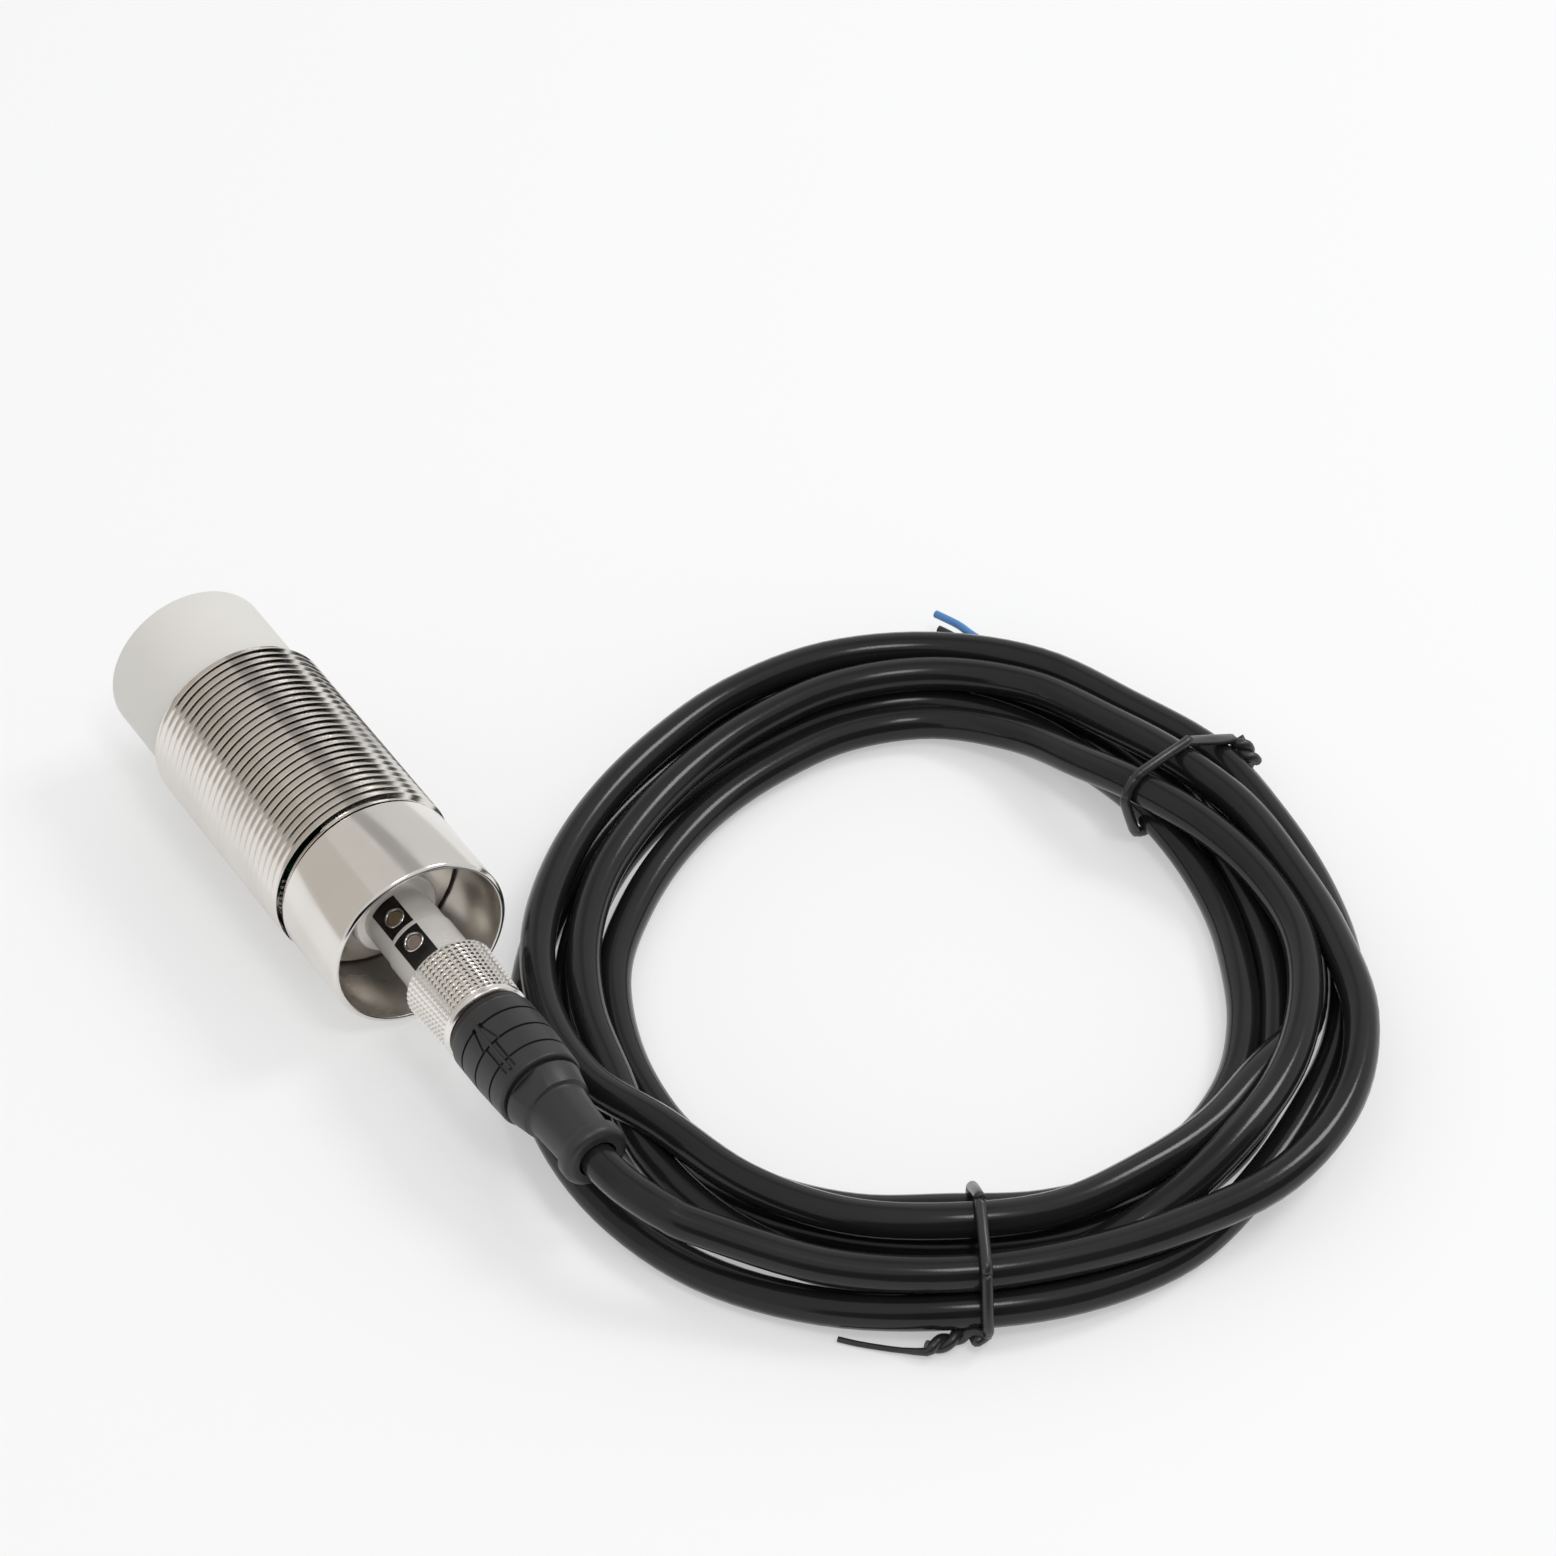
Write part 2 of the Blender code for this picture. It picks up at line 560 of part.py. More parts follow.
def coupling_nut():
    sides = 2 * KNURL_COLUMNS
    edge = KNURL_DEPTH
    knurl_start = NUT_START + edge
    rows = [
        knurled_ring(knurl_start + KNURL_LENGTH * row / (2 * KNURL_ROWS), row)
        for row in range(2 * KNURL_ROWS + 1)
    ]
    collar_start = knurl_start + KNURL_LENGTH + edge
    rest = [
        (collar_start, NUT_REAR_RADIUS), (NUT_END - edge, NUT_REAR_RADIUS),
        (NUT_END, NUT_REAR_RADIUS - edge),
        (NUT_END, NUT_BORE_RADIUS), (LIP_END, NUT_BORE_RADIUS), (LIP_END, NUT_LIP_RADIUS),
        (LIP_START, NUT_LIP_RADIUS), (LIP_START, NUT_BORE_RADIUS), (NUT_START, NUT_BORE_RADIUS),
        (NUT_START, NUT_RADIUS - 2 * edge),
    ]
    rings = rows + [circle(station, radius, sides) for station, radius in rest]
    place("coupling_nut", skin(rings, True), NICKEL)


def groove(station, radius):
    half = GROOVE_WIDTH / 2
    floor = radius - GROOVE_DEPTH
    return [
        (station - half, radius), (station - half / 2, floor),
        (station + half / 2, floor), (station + half, radius),
    ]


def plug_body():
    """The moulded plug: ribbed grip, shoulder, waist and the collar round the cable."""
    rounding = GRIP_RADIUS - GRIP_FACE_RADIUS
    profile = [
        (POCKET_FLOOR, SOCKET_CARRIER_RADIUS + SEAT_GAP), (PLUG_START, SOCKET_CARRIER_RADIUS + SEAT_GAP),
        (PLUG_START, PLUG_THREAD_RADIUS), (PLUG_START + PLUG_FLANGE_LENGTH, PLUG_THREAD_RADIUS),
        (PLUG_START + PLUG_FLANGE_LENGTH, PLUG_NECK_RADIUS), (GRIP_START, PLUG_NECK_RADIUS),
    ]
    profile += arc(GRIP_START + rounding, GRIP_FACE_RADIUS, rounding, 180, 90, 4)
    first_groove = GRIP_START + GROOVE_FIRST
    for i in range(GROOVE_COUNT):
        radius = GRIP_RADIUS - GRIP_TAPER * (i + 1) / GROOVE_COUNT
        profile += groove(first_groove + GROOVE_SPACING * i, radius)
    grip_end_radius = GRIP_RADIUS - GRIP_TAPER
    bevel = SHOULDER_STEP / 2
    profile += [(GRIP_END - bevel, grip_end_radius), (GRIP_END, grip_end_radius - bevel)]
    cone_start = grip_end_radius - SHOULDER_STEP
    profile += [(GRIP_END, cone_start)]
    collar_start = PLUG_END - TAIL_COLLAR_LENGTH
    neck = collar_start - GRIP_END
    for share in (0.2, 0.45, 0.7, 0.95):
        ease = 0.5 + 0.5 * math.cos(math.pi * share)
        profile.append((GRIP_END + neck * share, WAIST_RADIUS + (cone_start - WAIST_RADIUS) * ease))
    rim = TAIL_COLLAR_RADIUS - WAIST_RADIUS
    profile += [
        (collar_start + rim, TAIL_COLLAR_RADIUS), (PLUG_END - rim, TAIL_COLLAR_RADIUS),
        (PLUG_END - rim / 3, TAIL_COLLAR_RADIUS - rim / 3), (PLUG_END, TAIL_COLLAR_RADIUS - rim),
    ]
    mouth = CABLE_RADIUS + SEAT_GAP
    profile += [(PLUG_END, mouth + SEAT_GAP), (PLUG_END - SEAT_GAP, mouth), (PLUG_END - MOUTH_DEPTH, mouth)]
    body = turned("plug_body", profile, PLUG_RUBBER, sides=32)
    cut(body, key_mark())


def key_mark():
    """The arrow pressed into the grip, in line with the key."""
    half_head = MARK_HEAD_WIDTH / 2
    half_shaft = MARK_SHAFT_WIDTH / 2
    neck = MARK_HEAD_LENGTH
    outline = [
        (0, 0), (neck, half_head), (neck, half_shaft), (MARK_LENGTH, half_shaft),
        (MARK_LENGTH, -half_shaft), (neck, -half_shaft), (neck, -half_head),
    ]
    start = GRIP_START + GRIP_RADIUS - GRIP_FACE_RADIUS
    floor = GRIP_RADIUS - MARK_DEPTH
    heights = (floor - GRIP_TAPER / 2, GRIP_RADIUS + MARK_DEPTH)
    rings = [[Vector((x, y, z)) for x, y in outline] for z in heights]
    bm = skin(rings, False)
    bm.transform(key_frame(start))
    return cutter("key_mark", bm)


def plug_seal():
    """The sealing ring on the socket carrier, squeezed between plug and receptacle."""
    station = (SENSOR_LENGTH + PLUG_START) / 2
    radius = SOCKET_CARRIER_RADIUS + SEAT_GAP + SEAL_RING_RADIUS
    seal_ring("plug_seal", station, radius, SEAL_RING_RADIUS, SEAL_RUBBER)


def coil_radius(angle):
    """Mid radius of the coil, which is slightly oval and three-lobed."""
    oval, oval_angle = COIL_OVAL
    lobes, lobe_angle = COIL_LOBES
    shape = oval * math.cos(2 * (angle - oval_angle)) + lobes * math.cos(3 * (angle - lobe_angle))
    return COIL_MEAN_RADIUS + shape


def coil_lift(angle):
    """The coil is lifted where a tie passes under it."""
    lift = 0.0
    for tie in (LOWER_TIE_ANGLE, UPPER_TIE_ANGLE):
        away = math.remainder(angle - tie, 2 * math.pi) / TIE_LIFT_SPREAD
        lift += (2 * TIE_RADIUS + 2 * SEAT_GAP) * math.exp(-0.5 * away ** 4)
    return lift


def coil_section(angle, turn, grow=0.0):
    """A point of the coil's oval section, grown outwards by the given distance."""
    across = (COIL_HALF_WIDTH + grow) * math.cos(turn)
    up = (COIL_HEIGHT / 2 + grow) * math.sin(turn)
    radius = coil_radius(angle) + across
    return Vector((
        COIL_CENTRE.x + radius * math.cos(angle), COIL_CENTRE.y + radius * math.sin(angle),
        COIL_HEIGHT / 2 + coil_lift(angle) + up,
    ))


def cable_coil():
    rings = []
    for i in range(COIL_STEPS):
        angle = 2 * math.pi * i / COIL_STEPS
        turns = [2 * math.pi * j / COIL_SIDES for j in range(COIL_SIDES)]
        rings.append([coil_section(angle, turn) for turn in turns])
    coil = place("cable_coil", skin(rings, True), CABLE_BLACK)
    coil.location = (0, 0, 0)


def smooth_route(points, spacing):
    """Read points from a smooth curve through the chosen ones."""
    line = [2 * points[0] - points[1]] + list(points) + [2 * points[-1] - points[-2]]
    dense = []
    for before, start, end, after in zip(line, line[1:], line[2:], line[3:]):
        for i in range(8):
            t = i / 8
            dense.append(0.5 * (
                2 * start + (end - before) * t + (2 * before - 5 * start + 4 * end - after) * t * t
                + (3 * start - before - 3 * end + after) * t ** 3
            ))
    dense.append(points[-1])
    travelled = [0.0]
    for a, b in zip(dense, dense[1:]):
        travelled.append(travelled[-1] + (b - a).length)
    count = max(2, round(travelled[-1] / spacing))
    route = []
    k = 0
    for i in range(count + 1):
        goal = travelled[-1] * i / count
        while k < len(dense) - 2 and travelled[k + 1] < goal:
            k += 1
        share = (goal - travelled[k]) / (travelled[k + 1] - travelled[k])
        route.append(dense[k].lerp(dense[k + 1], share))
    return route


def tube(name, points, radius, surface, resolution=2):
    """A round cord along a line of points, with closed ends."""
    curve = bpy.data.curves.new(name, "CURVE")
    curve.dimensions = "3D"
    curve.bevel_depth = radius
    curve.bevel_resolution = resolution
    curve.use_fill_caps = True
    line = curve.splines.new("POLY")
    line.points.add(len(points) - 1)
    for spot, point in zip(line.points, points):
        spot.co = (*point, 1.0)
    curve.materials.append(surface)
    thing = bpy.data.objects.new(name, curve)
    bpy.context.collection.objects.link(thing)
    return thing


def cable_lead():
    points = smooth_route([Vector(p) for p in LEAD_ROUTE], 2.2 * CABLE_RADIUS)
    tube("cable_lead", points, CABLE_RADIUS, CABLE_BLACK, resolution=3)


def tie_loop(angle, start, end, steps):
    """Points of a tie round the coil's section, from one turn angle to another."""
    grow = TIE_RADIUS + SEAT_GAP
    turns = [start + (end - start) * i / steps for i in range(steps + 1)]
    return [coil_section(angle, turn, grow) for turn in turns]


def twist_ties():
    """Two plastic-coated wire ties; the lower one keeps its long twisted tail."""
    side = Vector((0.0, 0.0, TIE_RADIUS))
    start = math.radians(-18)
    lower = tie_loop(LOWER_TIE_ANGLE, start, start + math.radians(335), 18)
    knot = lower[0] + TIE_KNOT - side
    tail = [Vector(p) for p in reversed(LOWER_TIE_TAIL)]
    tube("twist_tie_lower", smooth_route(tail + [knot] + lower, TIE_SPACING), TIE_RADIUS, TIE_BLACK)
    start = math.radians(200)
    upper = tie_loop(UPPER_TIE_ANGLE, start, start + math.radians(335), 18)
    inward = Vector((math.cos(UPPER_TIE_ANGLE), math.sin(UPPER_TIE_ANGLE), 0.0))
    stub = upper[0] - TIE_STUB * inward - side
    tube("twist_tie_upper", smooth_route([stub] + upper, TIE_SPACING), TIE_RADIUS, TIE_BLACK)


def wire_ends():
    """The three stripped wires at the free end of the cable."""
    outward = Vector((math.cos(WIRE_ANGLE), math.sin(WIRE_ANGLE), 0.0))
    along = Vector((-outward.y, outward.x, 0.0))
    wires = (("wire_blue", WIRE_BLUE, 10, 1.0), ("wire_black", WIRE_BLACK, -20, 0.72),
             ("wire_brown", WIRE_BROWN, -45, 0.5))
    for name, surface, turn, share in wires:
        reach = share * WIRE_REACH
        spread = share * WIRE_SPREAD
        root = coil_section(WIRE_ANGLE, math.radians(turn), WIRE_RADIUS + SEAT_GAP)
        bend = root + 0.4 * reach * along + 0.35 * spread * outward
        tip = root + reach * along + spread * outward
        tube(name, smooth_route([root, bend, tip], 2.5 * WIRE_RADIUS), WIRE_RADIUS, surface)


sensing_cap()
slot_floor = plate_carrier(sensing_plates())
circuit(slot_floor)
barrel()
closing_disc()
connector_stem()
lights()
receptacle_contacts()
plug_contacts()
coupling_nut()
plug_body()
plug_seal()
cable_coil()
cable_lead()
twist_ties()
wire_ends()
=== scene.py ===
import math

import bmesh
import bpy
from mathutils import Matrix, Vector


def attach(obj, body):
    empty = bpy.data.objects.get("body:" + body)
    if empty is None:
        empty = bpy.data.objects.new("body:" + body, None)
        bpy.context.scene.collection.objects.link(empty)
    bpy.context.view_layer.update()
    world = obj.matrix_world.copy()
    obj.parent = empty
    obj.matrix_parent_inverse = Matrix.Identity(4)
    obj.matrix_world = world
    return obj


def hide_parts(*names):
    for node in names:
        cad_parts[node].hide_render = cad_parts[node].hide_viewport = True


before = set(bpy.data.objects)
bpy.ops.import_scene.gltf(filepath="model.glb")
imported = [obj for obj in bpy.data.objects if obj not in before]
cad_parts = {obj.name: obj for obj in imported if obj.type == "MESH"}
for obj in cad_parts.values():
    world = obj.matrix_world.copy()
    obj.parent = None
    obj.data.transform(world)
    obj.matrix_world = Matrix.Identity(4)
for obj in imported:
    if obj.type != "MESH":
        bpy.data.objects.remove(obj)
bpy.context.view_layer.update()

# Places and sizes
FRONT_X = -0.04675
AXIS_HEIGHT = 0.0150
AXIS = (0.0, 0.0, AXIS_HEIGHT)

# Threaded body
THREAD_RADIUS = 0.0150
THREAD_PITCH = 0.0015
THREAD_DEPTH = 0.00081
BODY_START = 0.0173
THREAD_END = 0.0586
RELIEF_RADIUS = 0.0142
SLEEVE_START = 0.0594
SLEEVE_RADIUS = 0.01465
RIM = 0.0760
CUP_RADIUS = 0.01375
BODY_BORE = 0.0131
BODY_SHOULDER = 0.0583
LEAD_CHAMFER = 0.0009
RIM_CHAMFER = 0.00035
CREST_EDGE = 0.00012

# Sensing cap
CAP_LENGTH = 0.0170
CAP_RADIUS = 0.0135
CAP_EDGE = 0.0009
CAP_WALL = 0.0016
SKIRT_RADIUS = 0.0128
SKIRT_BORE = 0.0118
SKIRT_END = 0.0250

# Connector stem
STEM_START = 0.0589
COLLAR_START = 0.0623
COLLAR_RADIUS = 0.0070
NECK_START = 0.0684
NECK_RADIUS = 0.00535
STEP = 0.0763
REAR_RADIUS = 0.0056
PLUG_THREAD_START = 0.0847
PLUG_THREAD_RADIUS = 0.0059
SENSOR_LENGTH = 0.0935
SPIGOT_RADIUS = 0.0049
STEM_BORE = 0.0042
SOCKET_BORE = 0.0049
SOCKET_FLOOR = 0.0850
KEY_ANGLE = math.radians(121.1)
WINDOWS = (0.0732, 0.0793)
WINDOW_RADIUS = 0.0016
LENS_RADIUS = 0.0013
INLAY_ANGLE = math.radians(124.0)
INLAY_HALF_ANGLE = math.radians(24.5)
INLAY_DEPTH = 0.00030
INLAY_PROUD = 0.00006
WINDOW_CUT = (0.0030, 0.0070)
LENS_FOOT = 0.0036
LENS_SINK = 0.00030
LENS_STEPS = ((0.00018, 0.00014), (0.0002, -0.00010), (0.0003, 0.00006), (0.0003, 0.00003))
WINDOW_WIRE = 0.00017
WINDOW_WIRE_SINK = 0.00012

# Coupling nut
NUT_START = 0.0842
NUT_END = 0.0963
NUT_RADIUS = 0.0074
NUT_REAR_RADIUS = 0.0069
NUT_BORE = 0.0062
KNURL_START = 0.08455
KNURL_LENGTH = 0.0102
KNURL_DEPTH = 0.00040
KNURL_COLUMNS = 46
KNURL_ROWS = 12
NUT_LIP = 0.00535
LIP_START = 0.0956
LIP_END = 0.0962

# Moulded plug
PLUG_START = 0.0949
FLANGE_END = 0.0953
POCKET_FLOOR = 0.0965
POCKET_RADIUS = 0.0046
PLUG_NECK = 0.00505
RING_END = 0.0976
RING_RADIUS = 0.0065
GRIP_START = 0.0975
GRIP_END = 0.1118
GRIP_RADIUS = 0.0070
GRIP_END_RADIUS = 0.0067
GRIP_FACE = 0.0063
LIP_RADIUS = 0.00615
FACET_START = 0.1131
FACET_END = 0.1161
FACET_RADIUS = 0.0054
TAIL_RADIUS = 0.0048
WAIST_RADIUS = 0.0044
BEAD_START = 0.1250
BEAD_RADIUS = 0.0052
PLUG_END = 0.1278
MOUTH_RADIUS = 0.00305
MOUTH_DEPTH = 0.0160
GROOVES = (0.1008, 0.1047, 0.1085)
GROOVE_WIDTH = 0.00040
GROOVE_FLOOR = 0.00645
GROOVE_TOP = 0.0078
ARROW_ANGLE = math.radians(127.0)
ARROW_END = 0.1101
ARROW_TIP = 0.00065
ARROW_HEAD = 0.00155
ARROW_SHAFT = 0.00090
ARROW_WIDTH = 0.00036
ARROW_PIT = 0.00055
ARROW_LOW = GRIP_RADIUS - 0.00056
ARROW_HIGH = GRIP_RADIUS + 0.0008
RIB_START = 0.1002
RIB_WIDTH = 0.00040
RIB_TOP = GRIP_RADIUS + 0.00018
GRIP_EDGE = 0.0005
BEAD_EDGE = 0.0012
FACET_FLOOR = 0.00525
FACET_TILT = math.radians(8.0)

# Cable: the lead from the plug as chosen points, then the coil as radius and height
# every 15 degrees of turn, in millimetres round the coil's middle
CABLE_RADIUS = 0.00275
LEAD_ROUTE = (
    (0.0662, 0.0000, 0.0150), (0.0720, 0.0000, 0.0150), (0.0780, 0.0000, 0.0150),
    (0.0830, 0.0001, 0.0149), (0.0870, 0.0008, 0.0146), (0.0905, 0.0020, 0.0142),
    (0.0937, 0.0036, 0.0135),
)
COIL_CENTRE = (0.06411, 0.07028)
COIL_START = 297.88
COIL_STEP = 15.0
COIL_TURNS = (
    (72.1, 12.40), (69.9, 9.90), (68.6, 9.50), (67.1, 8.90), (66.9, 8.35), (68.3, 8.36),
    (67.3, 8.48), (64.0, 8.96), (58.8, 9.46), (55.6, 9.45), (54.5, 10.13), (53.2, 11.05),
    (54.8, 10.05), (59.1, 9.02), (60.6, 8.67), (59.6, 8.42), (56.7, 8.29), (54.5, 8.05),
    (53.5, 7.82), (53.7, 7.63), (54.2, 7.41), (54.9, 7.29), (56.3, 7.28), (61.4, 7.20),
    (64.2, 5.30), (65.3, 4.10), (65.3, 4.59), (64.0, 4.88), (61.9, 7.86), (59.3, 9.58),
    (57.5, 9.96), (55.5, 9.96), (53.5, 9.74), (50.5, 9.50), (47.2, 10.16), (44.1, 11.15),
    (45.3, 9.10), (51.0, 5.56), (54.8, 3.46), (53.7, 3.40), (51.0, 3.35), (49.2, 3.29),
    (48.2, 3.23), (48.3, 3.19), (49.6, 3.13), (50.5, 3.08), (51.8, 3.03), (53.4, 2.98),
    (53.9, 3.18), (53.4, 3.83), (52.3, 4.59), (52.6, 3.77), (52.5, 2.93), (51.0, 2.77),
    (49.2, 2.77), (46.8, 2.76), (45.0, 2.76), (44.7, 2.83), (45.0, 4.00), (46.5, 5.00),
    (51.1, 3.13), (56.5, 2.75), (60.2, 2.75), (59.0, 2.75), (56.4, 2.75), (55.2, 2.75),
    (54.9, 2.75), (55.1, 2.75), (56.0, 2.75), (57.0, 2.75), (58.4, 2.75), (59.2, 2.75),
    (59.2, 2.91), (59.0, 3.61), (59.0, 4.42), (58.6, 3.72), (57.9, 2.85), (57.0, 2.75),
    (54.9, 2.75), (51.7, 2.75), (50.3, 2.75), (49.7, 2.75), (50.2, 3.69), (52.5, 4.94),
    (58.1, 2.99), (62.2, 2.78), (65.0, 2.95), (64.2, 3.05), (62.9, 2.95), (61.2, 2.80),
    (60.3, 2.79), (60.5, 2.79), (62.2, 2.80), (64.7, 2.80), (67.5, 2.80), (70.2, 2.81),
    (71.8, 2.81), (71.8, 3.47), (71.2, 4.57), (69.9, 3.98), (67.4, 2.83), (63.4, 2.84),
    (61.3, 2.90), (61.3, 2.95), (61.2, 3.01), (60.7, 3.07), (61.0, 3.95), (62.4, 5.85),
    (61.5, 8.15), (65.0, 8.73), (66.7, 8.65), (66.5, 8.68), (64.3, 8.57), (61.7, 8.49),
    (60.6, 8.39), (60.5, 8.36), (61.1, 8.30), (61.3, 8.76), (60.7, 9.56), (58.6, 11.17),
    (59.4, 10.28), (60.0, 10.07), (59.9, 10.96), (58.7, 10.16), (55.8, 9.23), (54.1, 7.89),
    (53.4, 7.24), (55.8, 5.11), (55.5, 4.53), (54.9, 4.52), (56.2, 5.23), (58.3, 4.41),
    (63.0, 2.94), (67.5, 2.75),
)

# Twist ties and the wires of the stripped end
TIE_RADIUS = 0.00085
LOWER_TIE_ANGLE = math.radians(-28.5)
UPPER_TIE_ANGLE = math.radians(102.0)
LOOP_POINTS = 40
TIE_STEP = 0.0007
LOWER_TWIST = ((0.1268, 0.0330, 0.0020), (0.1266, 0.0303, 0.0017), (0.1260, 0.0266, 0.0016))
LOWER_TAIL = (
    (0.1172, 0.0176, 0.0006), (0.1193, 0.0194, 0.0006), (0.1218, 0.0218, 0.0007),
    (0.1240, 0.0240, 0.0009),
)
UPPER_TWIST = ((0.0004, 0.0000), (0.0017, -0.0008), (0.0029, -0.0018), (0.0039, -0.0028))
WIRE_RADIUS = 0.00065
WIRE_OFFSET = 0.0009
BLUE_WIRE = ((0.0059, 0.1157, 0.0050), (0.0015, 0.1149, 0.0050), (-0.0031, 0.1136, 0.0046))
BLACK_WIRE = ((0.0054, 0.1133, 0.0046), (0.0030, 0.1127, 0.0048), (0.0005, 0.1118, 0.0048))
BROWN_WIRE = ((0.0062, 0.1128, 0.0016), (0.0042, 0.1110, 0.0014), (0.0024, 0.1092, 0.0012))

# Camera and light of the picture
CAMERA_LENS = 115.6
CAMERA_SENSOR_WIDTH = 36.0
CAMERA_PLACE = (0.50892, -0.23830, 0.53608)
CAMERA_TURN = (math.radians(47.55), 0.0, math.radians(57.88))
LAMP_AIM = (0.04, 0.06, 0.0)
FLOOR_SPAN = 3.0
FLOOR_GLOW = 0.96
FLOOR_GLOW_SHARE = 0.42
SKY_STRENGTH = 0.72
REAR_CARD_X = 0.9
REAR_CARD_HALF = 1.3
REAR_CARD_HEIGHT = 0.84


# The camera
def set_camera():
    data = bpy.data.cameras.new("camera")
    data.lens = CAMERA_LENS
    data.sensor_width = CAMERA_SENSOR_WIDTH
    camera = bpy.data.objects.new("camera", data)
    camera.location = CAMERA_PLACE
    camera.rotation_euler = CAMERA_TURN
    bpy.context.collection.objects.link(camera)
    bpy.context.scene.camera = camera
    bpy.context.scene.view_settings.view_transform = "Standard"


set_camera()


# Surfaces
class Value:
    """A shader socket that can be added, taken away and multiplied, as numbers are."""

    def __init__(self, surface, socket):
        self.surface = surface
        self.socket = socket

    def maths(self, operation, first, second):
        return self.surface.node("ShaderNodeMath", {"operation": operation}, {0: first, 1: second})

    def __add__(self, other):
        return self.maths("ADD", self, other)

    def __sub__(self, other):
        return self.maths("SUBTRACT", self, other)

    def __rsub__(self, other):
        return self.maths("SUBTRACT", other, self)

    def __mul__(self, other):
        return self.maths("MULTIPLY", self, other)

    __radd__ = __add__
    __rmul__ = __mul__


class Surface:
    """A material: its constants sit on the shader, what varies is linked to it."""

    def __init__(self, name, colour, roughness, **constants):
        self.material = bpy.data.materials.new(name)
        self.material.use_nodes = True
        self.material.diffuse_color = (*colour, 1.0)
        self.tree = self.material.node_tree
        self.shader = self.tree.nodes["Principled BSDF"]
        self.set("Base Color", (*colour, 1.0))
        self.set("Roughness", roughness)
        for key, value in constants.items():
            self.set(key.replace("_", " "), value)

    def set(self, socket, value):
        self.feed(self.shader.inputs[socket], value)

    def feed(self, socket, value):
        if isinstance(value, Value):
            self.tree.links.new(value.socket, socket)
        else:
            socket.default_value = value

    def node(self, kind, settings=None, sockets=None, output=0):
        node = self.tree.nodes.new(kind)
        for key, value in (settings or {}).items():
            setattr(node, key, value)
        for key, value in (sockets or {}).items():
            self.feed(node.inputs[key], value)
        return Value(self, node.outputs[output])

    def place(self, stretch):
        spot = self.node("ShaderNodeTexCoord", output="Object")
        return self.node("ShaderNodeMapping", {}, {"Vector": spot, "Scale": stretch})

    def noise(self, scale, detail, stretch=(1.0, 1.0, 1.0)):
        sockets = {"Vector": self.place(stretch), "Scale": scale, "Detail": detail, "Roughness": 0.5}
        return self.node("ShaderNodeTexNoise", {}, sockets, "Fac")

    def ramp(self, value, low, high):
        """0 below low, 1 above high and straight between them."""
        sockets = {"Value": value, "From Min": low, "From Max": high}
        return self.node("ShaderNodeMapRange", {"clamp": True}, sockets)

    def colours(self, share, first, second):
        sockets = {0: share, 6: (*first, 1.0), 7: (*second, 1.0)}
        return self.node("ShaderNodeMix", {"data_type": "RGBA"}, sockets, 2)

    def bump(self, height, distance, strength):
        sockets = {"Height": height, "Distance": distance, "Strength": strength}
        self.set("Normal", self.node("ShaderNodeBump", {}, sockets))


def plated_metal(name, colour, darker, roughness, brush, brush_depth, metallic=1.0):
    """Plated metal with faint turning marks round the axis and a few duller patches."""
    surface = Surface(name, colour, roughness, Metallic=metallic)
    marks = surface.noise(160.0, 4.0, (40.0, 1.0, 1.0))
    patches = surface.noise(90.0, 3.0)
    surface.set("Base Color", surface.colours(surface.ramp(patches, 0.35, 0.75), colour, darker))
    surface.set("Roughness", roughness + 0.10 * surface.ramp(patches, 0.40, 0.80) + brush * marks)
    fine = surface.noise(2600.0, 2.0)
    surface.bump(marks + 0.25 * fine, brush_depth, 0.6)
    return surface.material


def moulded_plastic(name, colour, darker, roughness, grain, grain_depth, **constants):
    """Moulded plastic or rubber: slight shade changes and a fine grain."""
    surface = Surface(name, colour, roughness, **constants)
    cloud = surface.noise(55.0, 4.0)
    fine = surface.noise(grain, 2.0)
    surface.set("Base Color", surface.colours(surface.ramp(cloud, 0.30, 0.75), colour, darker))
    surface.set("Roughness", roughness - 0.05 + 0.10 * cloud + 0.04 * fine)
    surface.bump(fine + 0.6 * cloud, grain_depth, 0.7)
    return surface.material


NICKEL = plated_metal("nickel_plate", (0.80, 0.775, 0.74), (0.76, 0.73, 0.69), 0.11, 0.04, 0.000004)
NICKEL_THREAD = plated_metal("nickel_thread", (0.82, 0.79, 0.75), (0.76, 0.73, 0.69), 0.10, 0.03, 0.000004)
NICKEL_NUT = plated_metal("nickel_nut", (0.88, 0.86, 0.83), (0.84, 0.81, 0.77), 0.17, 0.05, 0.000006)
NICKEL_SATIN = plated_metal(
    "nickel_satin", (0.72, 0.685, 0.64), (0.66, 0.625, 0.58), 0.20, 0.05, 0.000005, 0.88)
# The stem's nickel is a lighter, barely metallic copy of the plate: painted brightness that stands in for the
# bright reflection along the stem.
NICKEL_STEM_PAINTED_BRIGHT = plated_metal(
    "nickel_stem_painted_bright", (0.92, 0.89, 0.85), (0.87, 0.84, 0.80), 0.20, 0.04, 0.000004, 0.30)
CAP_PLASTIC = moulded_plastic(
    "cap_plastic", (0.735, 0.715, 0.675), (0.71, 0.69, 0.65), 0.50, 900.0, 0.00002, IOR=1.46)
COPPER = plated_metal("copper", (0.76, 0.40, 0.24), (0.60, 0.30, 0.18), 0.26, 0.10, 0.00001)
GOLD = plated_metal("contact_gold", (0.85, 0.62, 0.28), (0.75, 0.52, 0.22), 0.18, 0.06, 0.000004)
BOARD_GREEN = moulded_plastic("board_green", (0.03, 0.17, 0.07), (0.02, 0.11, 0.05), 0.40, 1500.0, 0.00001)
